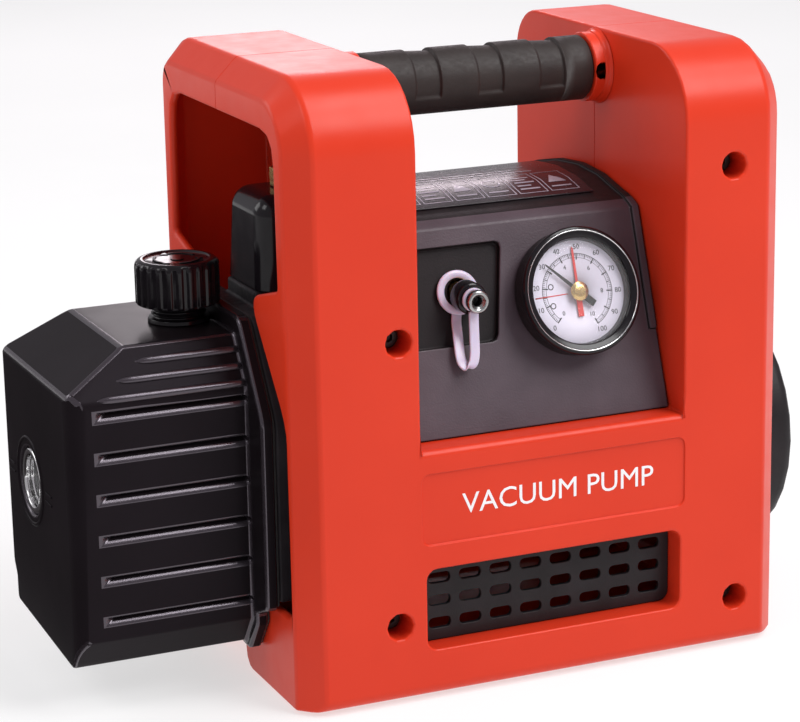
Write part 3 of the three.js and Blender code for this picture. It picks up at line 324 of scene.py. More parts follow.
def new_object(name, mesh):
    piece = bpy.data.objects.new(name, mesh)
    bpy.context.scene.collection.objects.link(piece)
    return piece


def from_bmesh(name, bm):
    bmesh.ops.recalc_face_normals(bm, faces=bm.faces)
    mesh = bpy.data.meshes.new(name)
    bm.to_mesh(mesh)
    bm.free()
    mesh.shade_smooth()
    return new_object(name, mesh)


def dress(piece, body, slot, material=None, nodes=()):
    """Gives a piece its material, its body, its slot and the CAD nodes that it stands for."""
    piece.data.materials.append(material or MATERIALS[slot])
    if body:
        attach(piece, body)
    if nodes:
        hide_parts(*nodes)


EDGE_ANGLE = 28                  # degrees; an edge that turns by less isn't rounded
FLAT_ANGLE = 0.7                 # degrees; facets that turn by less are merged
MERGE_M = 2e-6
ROOM_SHARE = 0.45                # where there are cuts, a rounding takes at most this part of a face


def rounded(piece, width, segments=3, angle=EDGE_ANGLE):
    """Rounds the piece's edges by `width` millimetres and evens out its normals."""
    bevel = piece.modifiers.new("rounding", "BEVEL")
    bevel.width = width * MM
    bevel.segments = segments
    bevel.limit_method = "ANGLE"
    bevel.angle_limit = math.radians(angle)
    bevel.use_clamp_overlap = False
    bevel.loop_slide = False
    normals = piece.modifiers.new("normals", "WEIGHTED_NORMAL")
    normals.keep_sharp = True
    return piece


def depth_from(edge, face):
    """How far the face reaches from the line of one of its edges."""
    start = edge.verts[0].co
    along = (edge.verts[1].co - start).normalized()
    return max(((v.co - start) - (v.co - start).dot(along) * along).length for v in face.verts)


def refined(node, width, share=None, segments=3, material=None, second=None, cuts=(), edging=None):
    """A CAD node drawn again with its facets merged and its edges rounded by `width` millimetres.

    share(edge middle, face normals) gives the part of the width that an edge takes, from 0 to 1.
    second is a material and a test(face middle, normal) that says which faces take it.
    cuts are (axis, place in metres) planes that part large flat faces, so that fewer long thin
    triangles are left.
    edging is the material of the rounded edges, where it isn't that of the faces beside them.
    """
    bm = bmesh.new()
    bm.from_mesh(NODES[node].data)
    bmesh.ops.remove_doubles(bm, verts=bm.verts, dist=MERGE_M)
    for axis, place in cuts:
        plane = Vector((axis == 0, axis == 1, axis == 2))
        parted = bmesh.ops.bisect_plane(bm, geom=bm.verts[:] + bm.edges[:] + bm.faces[:], dist=1e-6,
                                        plane_co=plane * place, plane_no=plane)["geom_cut"]
        for part in parted:
            if isinstance(part, bmesh.types.BMEdge):
                part.seam = True
    bmesh.ops.dissolve_limit(bm, angle_limit=math.radians(FLAT_ANGLE), verts=bm.verts, edges=bm.edges,
                             use_dissolve_boundaries=False, delimit={"SEAM"})
    weights = bm.edges.layers.float.new("bevel_weight_edge")
    for edge in bm.edges:
        if len(edge.link_faces) != 2 or edge.calc_face_angle() < math.radians(EDGE_ANGLE):
            continue
        point = (edge.verts[0].co + edge.verts[1].co) / 2
        part = share(point, [face.normal for face in edge.link_faces]) if share else 1
        if cuts:
            room = min(depth_from(edge, face) for face in edge.link_faces)
            part = min(part, ROOM_SHARE * room / (width * MM))
        edge[weights] = part
        edge.smooth = part > 0
    if cuts:
        bmesh.ops.triangulate(bm, faces=[f for f in bm.faces if len(f.verts) > 4], ngon_method="BEAUTY")
    if second:
        for face in bm.faces:
            face.material_index = int(second[1](face.calc_center_median(), face.normal))
    piece = from_bmesh(node + "_skin", bm)
    rounded(piece, width, segments)
    piece.modifiers["rounding"].limit_method = "WEIGHT"
    slot = next(s["material_slot"] for s in frame["record"]["subparts"] if s["node"] == node)
    dress(piece, body_of(node), slot, material, [node])
    if second:
        piece.data.materials.append(second[0])
    if edging:
        piece.data.materials.append(edging)
        piece.modifiers["rounding"].material = len(piece.data.materials) - 1


def placed(origin, normal, along=ALONG):
    """The matrix that takes local z to `normal` and local x to `along`, from `origin` in metres."""
    z = Vector(normal).normalized()
    x = (along - along.dot(z) * z).normalized()
    turn = Matrix((x, z.cross(x), z)).transposed().to_4x4()
    return Matrix.Translation(origin) @ turn @ Matrix.Scale(MM, 4)


def turned(name, profile, place, segments=72, radius_at=None):
    """A turned piece. profile is (radius, height) pairs in millimetres from axis to axis, or round
    to its own start. radius_at(radius, height, angle) may reshape it."""
    bm = bmesh.new()
    closed = profile[0] == profile[-1]
    rings = []
    for radius, height in (profile[:-1] if closed else profile):
        if radius == 0:
            rings.append([bm.verts.new(place @ Vector((0, 0, height)))] * segments)
            continue
        ring = []
        for i in range(segments):
            angle = 2 * math.pi * i / segments
            r = radius_at(radius, height, angle) if radius_at else radius
            ring.append(bm.verts.new(place @ Vector((r * math.cos(angle), r * math.sin(angle), height))))
        rings.append(ring)
    pairs = list(zip(rings, rings[1:]))
    if closed:
        pairs.append((rings[-1], rings[0]))
    for low, high in pairs:
        for i in range(segments):
            j = (i + 1) % segments
            corners = list(dict.fromkeys([low[i], low[j], high[j], high[i]]))
            if len(corners) > 2:
                bm.faces.new(corners)
    return from_bmesh(name, bm)


def slab(bm, place, outline, low, high):
    """Adds a flat plate of that outline, from height low to high, to bm."""
    rings = [[bm.verts.new(place @ Vector((x, y, z))) for x, y in outline] for z in (low, high)]
    bm.faces.new(rings[0][::-1])
    bm.faces.new(rings[1])
    for i in range(len(outline)):
        j = (i + 1) % len(outline)
        bm.faces.new([rings[0][i], rings[0][j], rings[1][j], rings[1][i]])


def arc_points(radius, start, end, count):
    return [(radius * math.cos(math.radians(start + (end - start) * i / count)),
             radius * math.sin(math.radians(start + (end - start) * i / count))) for i in range(count + 1)]


def text_mesh(text, size, depth=0.12):
    """The mesh of a line of text, centred, lying in local x and y, in millimetres."""
    curve = bpy.data.curves.new("letters", "FONT")
    curve.body = text
    curve.size = size
    curve.extrude = depth / 2
    curve.align_x = "CENTER"
    curve.align_y = "CENTER"
    curve.resolution_u = 3
    holder = bpy.data.objects.new("letters", curve)
    bpy.context.scene.collection.objects.link(holder)
    bpy.context.view_layer.update()
    mesh = bpy.data.meshes.new_from_object(holder.evaluated_get(bpy.context.evaluated_depsgraph_get()))
    bpy.data.objects.remove(holder)
    bpy.data.curves.remove(curve)
    return mesh


def add_text(bm, text, size, matrix, **look):
    mesh = text_mesh(text, size, **look)
    mesh.transform(matrix)
    bm.from_mesh(mesh)
    bpy.data.meshes.remove(mesh)


# ---- Carrying frame -------------------------------------------------------------------------

SHELL_CUTS_M = [(0, -0.045), (0, 0.115), (2, 0.035), (2, 0.064), (2, 0.125), (2, 0.215)]
SHELL_ROUNDING = 2.2
SHELL_END = 12                   # how far in from each end the outer edges are rounded most
VENT_MIDDLE_M, VENT_REACH_M, VENT_TOP_M = 0.0348, 0.066, 0.062
PANEL_START_M = 0.05             # from the shell's tank end
PANEL_FOOT_M, PANEL_HEAD_M = 0.071, 0.106


def build_shells():
    """The two half shells. Their outer corners are rounded most, and the parting line least."""
    low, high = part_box("front_shell")
    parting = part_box("rear_shell")[0].y

    def share(point, normals):
        if abs(point.y - parting) < 1.2 * MM:
            return 0.12
        near_end = min(point.x - low.x, high.x - point.x) < SHELL_END * MM
        outside = any(n.y < -0.6 or n.y > 0.6 or n.z > 0.6 for n in normals)
        if near_end and outside:
            return 0.8
        if point.z < VENT_TOP_M and abs(point.x - VENT_MIDDLE_M) < VENT_REACH_M:
            return 0.5
        on_front = point.y < low.y + 1.5 * MM
        if on_front and PANEL_FOOT_M < point.z < PANEL_HEAD_M and low.x + PANEL_START_M < point.x:
            return 0.3
        return 0.55

    for node in ("front_shell", "rear_shell"):
        refined(node, SHELL_ROUNDING, share=share, cuts=SHELL_CUTS_M)


def build_small_parts():
    for i in range(1, 5):
        refined(f"shell_screw_{i}", 0.4)
        refined(f"rubber_foot_{i}", 0.6)
    for side in ("left", "right"):
        refined(f"handle_screw_{side}", 0.35)
    for node in ("front_grille", "rear_grille"):
        refined(node, 0.4, segments=2)


# ---- Handle ---------------------------------------------------------------------------------

GRIP_STEP = 1.4                  # depth of the finger recesses
GRIP_PITCH = 31.0
GRIP_RECESS = 12.4
GRIP_END_BAND = 15.0
GRIP_RECESSES = 3
GRIP_SEGMENTS = 144
GRIP_WALL = 5                    # from the grip's skin to its bore
RECESS_FOOT = math.radians(-24)  # the recesses run from here over the top to the same height behind


def smooth_step(value):
    value = min(max(value, 0), 1)
    return value * value * (3 - 2 * value)


def build_grip():
    low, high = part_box("handle_grip")
    axis = middle("handle_grip")
    radius = (high.z - low.z) / 2 / MM
    length = (high.x - low.x) / MM
    recesses = []
    for i in range(GRIP_RECESSES):
        end = length - GRIP_END_BAND - i * GRIP_PITCH
        recesses.append((end - GRIP_RECESS, end))
    marks = {0.0, 0.25, 0.7, 1.3, length - 1.3, length - 0.7, length - 0.25, length}
    for start, end in recesses:
        for edge in (start, end):
            marks.update(edge + offset for offset in (-0.9, -0.5, -0.2, 0, 0.2, 0.5, 0.9))
        marks.update(start + GRIP_RECESS * i / 6 for i in range(1, 6))
    marks.update(length * i / 24 for i in range(1, 24))
    stations = sorted(marks)

    def depth(x, angle):
        lift = 0
        for start, end in recesses:
            into = smooth_step((x - start + 0.7) / 1.4) * smooth_step((end + 0.35 - x) / 0.7)
            lift = max(lift, into * (0.55 + 0.45 * (x - start) / GRIP_RECESS))
        height = math.asin(math.sin(angle))
        return GRIP_STEP * lift * smooth_step((height - RECESS_FOOT) / math.radians(4))

    def ends(x):
        inside = min(x, length - x)
        return 1 - smooth_step(inside / 1.3)

    bm = bmesh.new()
    turns = [2 * math.pi * i / GRIP_SEGMENTS for i in range(GRIP_SEGMENTS)]

    def around(x, radius_at):
        ring = []
        for turn in turns:
            r = radius_at(turn)
            ring.append(bm.verts.new((x, axis.y - r * math.cos(turn), axis.z + r * math.sin(turn))))
        return ring

    rings = [around(low.x + x * MM, lambda turn: (radius - depth(x, turn) - ends(x)) * MM)
             for x in stations]
    bore = (radius - GRIP_WALL) * MM
    rings = [around(low.x, lambda turn: bore), *rings, around(high.x, lambda turn: bore)]
    for near, far in list(zip(rings, rings[1:])) + [(rings[-1], rings[0])]:
        for i in range(GRIP_SEGMENTS):
            j = (i + 1) % GRIP_SEGMENTS
            bm.faces.new([near[i], near[j], far[j], far[i]])
    dress(from_bmesh("handle_grip_skin", bm), "pump_body", "grip_rubber", nodes=["handle_grip"])


def build_collars():
    """Each collar flares where it meets its tower."""
    for side, outwards in (("left", -1), ("right", 1)):
        refined(f"handle_collar_{side}", 0.7)
        low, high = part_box(f"handle_collar_{side}")
        radius = (high.z - low.z) / 2 / MM
        foot = Vector((high.x if outwards > 0 else low.x, 0, middle(f"handle_collar_{side}").z))
        flare = [(radius - 1, -3.2), (radius + 0.05, -3.2), (radius + 0.15, -2), (radius + 0.4, -1),
                 (radius + 0.8, -0.4), (radius + 1.3, -0.1), (radius + 1.3, 0), (radius - 1, 0)]
        place = placed(foot, ALONG * outwards, UP)
        piece = turned(f"handle_boss_{side}", flare + flare[:1], place)
        dress(piece, "pump_body", "red_plastic")


# ---- Control housing ------------------------------------------------------------------------

RECESS_REACH = 23                # from the port's axis to the recess's end


def build_housing():
    """The fascia takes a lighter copy of the black plastic, a painted sheen for the light from above the
    front. The port's recess, a deeper step in it, and the faces turned from the gauge's axis take the darker
    copy, which is painted shade in the recess.
    """
    gauge_axis = Vector(JOINTS["needle_turn"]["axis"]).normalized()
    on_fascia = Vector(JOINTS["needle_turn"]["pos_m"])
    recess_end = JOINTS["port_cap_turn"]["pos_m"][0] + RECESS_REACH * MM

    # Faces sunk in the recess, or turned from the gauge's axis, take the darker copy, painted shade in the
    # recess. The rest take the lighter copy, a painted sheen.
    def is_dark(point, normal):
        sunk = (point - on_fascia).dot(gauge_axis) < -1 * MM and point.x < recess_end
        return sunk or normal.dot(gauge_axis) < 0.6

    refined("control_housing", 1.0, share=lambda point, normals: 0.9, material=PAINTED_SHEEN_FASCIA,
            second=(RECESS_SHADE_AND_CARD_BLACK, is_dark))
    refined("info_label", 0.25)
    build_label_print()


def on_surface(node):
    """Gives a function that drops a point straight down onto the top of a CAD node."""
    mesh = NODES[node].data
    mesh.calc_loop_triangles()
    tree = BVHTree.FromPolygons(
        [v.co for v in mesh.vertices], [tuple(t.vertices) for t in mesh.loop_triangles])

    def drop(x, y, lift):
        hit, normal, _, _ = tree.ray_cast(Vector((x * MM, y * MM, 0.5)), -UP)
        return hit + normal * lift * MM

    return drop


LABEL_BOXES = 6


def build_label_print():
    """A row of outlined boxes with plain generic signs: bars, a ring and a triangle."""
    low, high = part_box("info_label")
    drop = on_surface("info_label")
    bm = bmesh.new()
    lift = 0.08

    def patch(corners):
        """A printed quad between two edges, cut along y so that it follows the curve."""
        (ax, ay), (bx, by), (cx, cy), (dx, dy) = corners
        steps = max(1, int(max(abs(dy - ay), abs(cy - by)) / 1.5))
        rows = []
        for i in range(steps + 1):
            t = i / steps
            left = (ax + (dx - ax) * t, ay + (dy - ay) * t)
            right = (bx + (cx - bx) * t, by + (cy - by) * t)
            rows.append([bm.verts.new(drop(*left, lift)), bm.verts.new(drop(*right, lift))])
        for near, far in zip(rows, rows[1:]):
            bm.faces.new([near[0], near[1], far[1], far[0]])

    def bar(x0, x1, y0, y1):
        patch([(x0, y0), (x1, y0), (x1, y1), (x0, y1)])

    def ring(x, y, radius, width):
        count = 28
        outer = arc_points(radius, 0, 360, count)
        inner = arc_points(radius - width, 0, 360, count)
        for i in range(count):
            patch([(x + inner[i][0], y + inner[i][1]), (x + outer[i][0], y + outer[i][1]),
                   (x + outer[i + 1][0], y + outer[i + 1][1]), (x + inner[i + 1][0], y + inner[i + 1][1])])

    x0, x1 = low.x / MM + 4, high.x / MM - 4
    y0 = low.y / MM + 4
    depth = 24
    width = (x1 - x0) / LABEL_BOXES
    line = 0.55
    for i in range(LABEL_BOXES):
        left = x0 + i * width + 0.8
        right = left + width - 1.6
        centre = (left + right) / 2
        bar(left, right, y0, y0 + line)
        bar(left, right, y0 + depth - line, y0 + depth)
        bar(left, left + line, y0 + line, y0 + depth - line)
        bar(right - line, right, y0 + line, y0 + depth - line)
        if i % 3 == 0:
            ring(centre, y0 + 14, 4.6, 0.9)
            bar(centre - 5, centre + 5, y0 + 4, y0 + 5.2)
        elif i % 3 == 1:
            for k in range(5):
                bar(left + 2.2, right - 2.2 - k % 2 * 3, y0 + 4 + 3.4 * k, y0 + 5.3 + 3.4 * k)
        else:
            patch([(centre - 4.5, y0 + 9), (centre + 4.5, y0 + 9),
                   (centre + 0.2, y0 + 18), (centre - 0.2, y0 + 18)])
            bar(centre - 5, centre + 5, y0 + 4, y0 + 5.2)
    for k in range(4):
        bar(x0 + 1, x1 - 12 - 9 * (k % 3), y0 + depth + 4 + 3.2 * k, y0 + depth + 5 + 3.2 * k)
    dress(from_bmesh("label_marks", bm), "pump_body", "label_film", LABEL_PRINT)


def build_front_panel():
    """Plain generic lettering on the recessed panel of the front shell."""
    low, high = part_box("front_grille")
    shell_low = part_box("front_shell")[0]
    centre = Vector(((low.x + high.x) / 2 + 2 * MM, shell_low.y + 1 * MM, high.z + 28 * MM))
    bm = bmesh.new()
    letters = placed(centre, FRONT) @ Matrix.Translation((0, 0, 0.06)) @ Matrix.Scale(1.02, 4, (1, 0, 0))
    add_text(bm, "VACUUM PUMP", 13.4, letters)
    dress(from_bmesh("panel_lettering", bm), "pump_body", "white_enamel", WHITE_PRINT)


# ---- Gauge ----------------------------------------------------------------------------------

SCALE_START = 228                # degrees round the dial from its right, the scale runs clockwise
SCALE_END = -62
SCALE_NUMBERS = 11
SCALE_RADIUS = 17.4
NUMBER_RADIUS = 20.3


def gauge_place():
    joint = JOINTS["needle_turn"]
    return placed(Vector(joint["pos_m"]), joint["axis"])


def build_gauge():
    place = gauge_place()
    radius = (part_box("gauge_bezel")[1].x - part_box("gauge_bezel")[0].x) / 2 / MM
    case = turned("gauge_case_skin", [
        (0, -21), (20, -21), (20, 0.3), (radius - 1.2, 0.3), (radius - 0.7, 0.9), (radius - 0.5, 9.6),
        (26.4, 9.6), (26.2, 5.7), (0, 5.7)], place)
    dress(rounded(case, 0.4), "pump_body", "black_plastic", nodes=["gauge_case"])
    bezel = turned("gauge_bezel_skin", [
        (25, 9.8), (radius - 0.3, 9.8), (radius, 10.3), (radius, 11.9), (radius - 0.5, 12.7),
        (radius - 1.3, 13.1), (radius - 1.8, 13.0), (radius - 2.3, 12.6), (radius - 3.4, 12.4),
        (radius - 4.5, 12.1), (radius - 4.9, 11.7), (radius - 4.9, 11.5), (25, 11.4), (25, 9.8)], place, 96)
    dress(rounded(bezel, 0.15, 2), "pump_body", "gloss_black", nodes=["gauge_bezel"])
    trim = turned("gauge_bezel_trim", [
        (radius - 2.25, 12.5), (radius - 2.1, 12.95), (radius - 1.85, 13.15), (radius - 1.7, 13.1),
        (radius - 1.8, 12.7), (radius - 2.25, 12.5)], place, 96)
    dress(trim, "pump_body", "chrome")
    wall = turned("gauge_inner_wall", [
        (23.2, 6.8), (25.4, 6.8), (25.4, 10.1), (24.4, 10.1), (23.2, 6.8)], place, 96)
    dress(wall, "pump_body", "gloss_black")
    lens = turned("gauge_lens_skin", [
        (0, 10.4), (24.6, 10.3), (24.8, 10.6), (24.6, 11.0), (18, 11.3), (9, 11.4), (0, 11.45)], place, 96)
    dress(lens, "pump_body", "glass", nodes=["gauge_lens"])
    dial = turned("gauge_dial_skin", [
        (1.2, 5.9), (25.6, 5.9), (25.6, 6.5), (25, 6.75), (1.2, 6.75), (1.2, 5.9)], place, 96)
    dress(dial, "pump_body", "white_enamel", nodes=["gauge_dial"])
    build_dial_print(place)
    build_pointers(place)
    hub = turned("gauge_hub_skin", [
        (0, 9.1), (4.2, 9.1), (4.4, 9.3), (4.2, 9.6), (3.5, 9.7), (3.3, 9.9), (2.6, 10.1), (1.4, 10.2),
        (0, 10.25)], place, 48)
    dress(hub, "needle", "brass", nodes=["gauge_hub"])


def pointer_outline(length, tail, root_half, tip_half, tail_half):
    return [(-tail_half, -tail), (tail_half, -tail), (tail_half, 0), (root_half, 0), (tip_half, length - 1),
            (0, length), (-tip_half, length - 1), (-root_half, 0), (-tail_half, 0)]


def build_pointers(place):
    """The needle keeps the turn that its CAD node has; the set pointer stands upright."""
    low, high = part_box("gauge_needle")
    hub = middle("gauge_hub")
    reach = Vector((low.x - hub.x, 0, high.z - hub.z))
    turn = Matrix.Rotation(math.atan2(-reach.x, reach.z / math.cos(FASCIA_LEAN)), 4, "Z")
    length = math.hypot(reach.x, reach.z / math.cos(FASCIA_LEAN)) / MM
    needle = bmesh.new()
    slab(needle, place @ turn, pointer_outline(length + 0.8, 9.4, 1.0, 0.35, 1.6), 8.3, 8.8)
    dress(rounded(from_bmesh("gauge_needle_skin", needle), 0.1, 2), "needle", "needle_black",
          nodes=["gauge_needle"])
    marker = bmesh.new()
    slab(marker, place, pointer_outline(20.4, 11.3, 0.65, 0.5, 1.35), 7.2, 7.7)
    dress(rounded(from_bmesh("gauge_set_pointer_skin", marker), 0.1, 2), "set_pointer", "red_enamel",
          nodes=["gauge_set_pointer"])


def build_dial_print(place):
    """Scale arc, ticks and plain numbers, raised a little on the dial face."""
    face, top = 6.76, 6.86
    bm = bmesh.new()

    def tick(angle, inner, outer, half):
        turn = Matrix.Rotation(math.radians(angle), 4, "Z")
        slab(bm, place @ turn, [(inner, -half), (outer, -half), (outer, half), (inner, half)], face, top)

    steps = (SCALE_NUMBERS - 1) * 10
    for i in range(steps + 1):
        angle = SCALE_START + (SCALE_END - SCALE_START) * i / steps
        reach, half = ((2.9, 0.26) if i % 10 == 0 else (2.0, 0.17) if i % 5 == 0 else (1.2, 0.11))
        tick(angle, SCALE_RADIUS - reach, SCALE_RADIUS, half)
    for radius in (SCALE_RADIUS, SCALE_RADIUS - 1.9):
        band = arc_points(radius, SCALE_START, SCALE_END, 60)
        inner = arc_points(radius - 0.16, SCALE_START, SCALE_END, 60)
        for i in range(60):
            slab(bm, place, [inner[i], band[i], band[i + 1], inner[i + 1]], face, top)
    for i in range(SCALE_NUMBERS):
        angle = math.radians(SCALE_START + (SCALE_END - SCALE_START) * i / (SCALE_NUMBERS - 1))
        spot = Vector((NUMBER_RADIUS * math.cos(angle), NUMBER_RADIUS * math.sin(angle), face + 0.05))
        add_text(bm, str(i * 10), 3.3, place @ Matrix.Translation(spot), depth=0.08)
        inner = Vector((12.2 * math.cos(angle), 12.2 * math.sin(angle), face + 0.05))
        if i % 2 == 0 and i != 2:
            add_text(bm, str(i), 2.8, place @ Matrix.Translation(inner), depth=0.08)
    for y in (-5.2, 3.4):
        circle = arc_points(1.4, 0, 360, 20)
        hollow = arc_points(1.0, 0, 360, 20)
        shift = place @ Matrix.Translation((-12.8, y, 0))
        for i in range(20):
            slab(bm, shift, [hollow[i], circle[i], circle[i + 1], hollow[i + 1]], face, top)
    dress(from_bmesh("dial_scale", bm), "pump_body", "needle_black")
    red = bmesh.new()
    slab(red, place, [(-21, -1.3), (-5, -0.7), (-5, -0.3), (-21, -0.7)], face, top)
    dress(from_bmesh("dial_mark", red), "pump_body", "red_enamel")


# ---- Service port ---------------------------------------------------------------------------

def catmull(points, per_span):
    """Points of a smooth curve through the given ones."""
    line = []
    padded = [points[0] * 2 - points[1], *points, points[-1] * 2 - points[-2]]
    for a, b, c, d in zip(padded, padded[1:], padded[2:], padded[3:]):
        for i in range(per_span):
            t = i / per_span
            line.append(0.5 * ((2 * b) + (c - a) * t + (2 * a - 5 * b + 4 * c - d) * t * t
                               + (3 * b - a - 3 * c + d) * t ** 3))
    line.append(points[-1])
    return line


def swept_band(name, points, half_width, half_thickness):
    """A flat band with rounded edges along a curve that stays close to the local y-z plane."""
    line = catmull(points, 8)
    section = [(-1, -0.5), (-0.9, -0.9), (-0.7, -1), (0.7, -1), (0.9, -0.9), (1, -0.5),
               (1, 0.5), (0.9, 0.9), (0.7, 1), (-0.7, 1), (-0.9, 0.9), (-1, 0.5)]
    bm = bmesh.new()
    rings = []
    for i, point in enumerate(line):
        ahead = (line[min(i + 1, len(line) - 1)] - line[max(i - 1, 0)]).normalized()
        side = (ALONG - ALONG.dot(ahead) * ahead).normalized()
        out = ahead.cross(side)
        rings.append([bm.verts.new(point + (side * u * half_width + out * v * half_thickness) * MM)
                      for u, v in section])
    for near, far in zip(rings, rings[1:]):
        for i in range(len(section)):
            j = (i + 1) % len(section)
            bm.faces.new([near[i], near[j], far[j], far[i]])
    bm.faces.new(rings[0][::-1])
    bm.faces.new(rings[-1])
    return from_bmesh(name, bm)


def build_port():
    joint = JOINTS["port_cap_turn"]
    place = placed(Vector(joint["pos_m"]), FRONT)
    fitting = turned("port_fitting_skin", [
        (0, -14), (4.8, -14), (4.8, -3), (5, -2.6), (5, 3.2), (4.8, 3.4), (3.9, 3.5), (3.6, 3.9), (3.3, 4.3),
        (3.6, 4.7), (3.3, 5.1), (3.6, 5.5), (3.3, 5.9), (3.6, 6.3), (3.3, 6.7), (3.6, 7.1), (3.3, 7.5),
        (3.6, 7.9), (3.3, 8.3), (3.3, 9.2), (2.8, 9.5), (0, 9.5)], place, 48)
    dress(rounded(fitting, 0.15, 2), "pump_body", "brass", nodes=["port_fitting"])

    def knurl(radius, height, angle):
        return radius - (0.18 if radius > 6.9 and 6 < height < 11 and math.cos(angle * 32) > 0 else 0)

    cap = turned("port_cap_skin", [
        (3.9, 4.2), (6.7, 4.2), (7.1, 4.5), (7.2, 5.2), (7.2, 5.9), (7.2, 11.2), (7.2, 11.9), (7.0, 12.4),
        (6.4, 12.8), (3.6, 12.8), (3.6, 16.7), (2.2, 16.7), (2.2, 13.5), (0, 13.5), (0, 10.4), (3.9, 10.4),
        (3.9, 4.2)], place, 128, knurl)
    dress(rounded(cap, 0.12, 2), "port_cap", "gloss_black", nodes=["port_cap"])
    end = turned("port_cap_end_skin", [
        (2.2, 16.9), (3.6, 16.9), (4.9, 17.1), (5.2, 17.6), (5.2, 18.9), (4.9, 19.5), (4.4, 19.8),
        (3.6, 19.75), (3.1, 19.3), (2.9, 18.6), (2.2, 18.4), (2.2, 16.9)], place, 64)
    dress(end, "port_cap", "chrome", DULL_CHROME, ["port_cap_end"])
    ring = turned("port_cap_ring_skin", [
        (3.9, 13.2), (5.1, 13.2), (5.3, 13.5), (5.3, 14.3), (5.1, 14.6), (3.9, 14.6), (3.9, 13.2)], place, 64)
    dress(ring, "port_ring", "clear_plastic", nodes=["port_cap_ring"])
    gauge_axis = Vector(JOINTS["needle_turn"]["axis"])
    eyelet = turned("port_eyelet", [
        (6.9, -0.7), (9.6, -0.7), (10.1, -0.3), (10.1, 0.3), (9.6, 0.7), (6.9, 0.7), (6.6, 0.3), (6.6, -0.3),
        (6.9, -0.7)], placed(place @ Vector((-1.5, 0.5, 0.6)), gauge_axis), 64)
    dress(eyelet, "pump_body", "clear_plastic")
    build_port_strap(place)


def build_port_strap(place):
    """A flat strap from the loose ring round the fitting, over the recess's lower edge and back up to
    the ring on the cap."""
    path = [(-3.2, -8.0, 2.9), (-4.4, -11.7, 5.0), (-5.6, -16, 8.8), (-6.6, -20.4, 12.2), (-7.1, -24.5, 14.6),
            (-6.6, -27.6, 16.0), (-4.8, -29.3, 17.2), (-2.7, -28, 18.2), (-1.6, -24, 18), (-1.0, -17, 16.6),
            (-0.5, -11, 15.1), (-0.1, -5.4, 14.1)]
    strap = swept_band("port_strap_skin", [place @ Vector(p) for p in path], 2.3, 0.6)
    dress(strap, None, "clear_plastic", nodes=["port_strap"])
    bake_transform(strap)


# ---- Oil tank -------------------------------------------------------------------------------

TANK_RIBS = 3
TANK_MIDDLE = 7.5                # the tank stands out further behind than in front
TANK_PLATE = 4.5                 # the flange at the tank's pump side
DRAIN_ROOM = 13                  # the cuts round the drain plug keep this far from its middle
RIB_SIDES = 9


def build_tank():
    drain, room = middle("drain_plug"), DRAIN_ROOM * MM

    def share(point, normals):
        """Half as much on the faces toward the pump."""
        return 1 if max(n.x for n in normals) < 0.9 else 0.5

    refined("oil_tank", 1.5, share=share, segments=4, edging=CASTING_EDGE,
            cuts=[(0, drain.x - room), (0, drain.x + room), (2, drain.z + room)])
    build_tank_ribs()
    refined("tank_gasket", 0.15)
    refined("drain_plug", 0.5)
    build_sight_glass()


def build_tank_ribs():
    """Three half-round ribs along the sloping shoulder of the tank, on both sides, each one starting
    further from the tank's end than the one below it."""
    low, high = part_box("oil_tank")
    foot = Vector((low.x + 10 * MM, -45 * MM, 143 * MM))
    head = Vector((low.x + 43 * MM, -31 * MM, 164 * MM))
    outwards = Vector((0, -(head.z - foot.z), head.y - foot.y)).normalized()
    flat = Vector((0, -outwards.z, outwards.y))
    bm = bmesh.new()
    for side in (1, -1):
        for i in range(TANK_RIBS):
            start = foot.lerp(head, 0.08 + 0.31 * i)
            length = (high.x - TANK_PLATE * MM - start.x) / MM
            stations = [(0, 0.1), (1.5, 0.7), (4, 1.5), (7, 1.8), (14, 1.9), (length - 4, 1.9), (length, 1.9)]
            rings = []
            for along, radius in stations:
                ring = []
                for k in range(RIB_SIDES):
                    angle = math.pi * k / (RIB_SIDES - 1)
                    around = outwards * math.sin(angle) * 0.95 + flat * math.cos(angle)
                    offset = around * radius - outwards * 0.4
                    point = start + ALONG * along * MM + offset * MM
                    if side < 0:
                        point.y = 2 * TANK_MIDDLE * MM - point.y
                    ring.append(bm.verts.new(point))
                rings.append(ring)
            for near, far in zip(rings, rings[1:]):
                for k in range(RIB_SIDES):
                    j = (k + 1) % RIB_SIDES
                    bm.faces.new([near[k], near[j], far[j], far[k]])
            bm.faces.new(rings[0])
            bm.faces.new(rings[-1])
    dress(from_bmesh("tank_ribs", bm), "pump_body", "painted_casting", CASTING_EDGE)


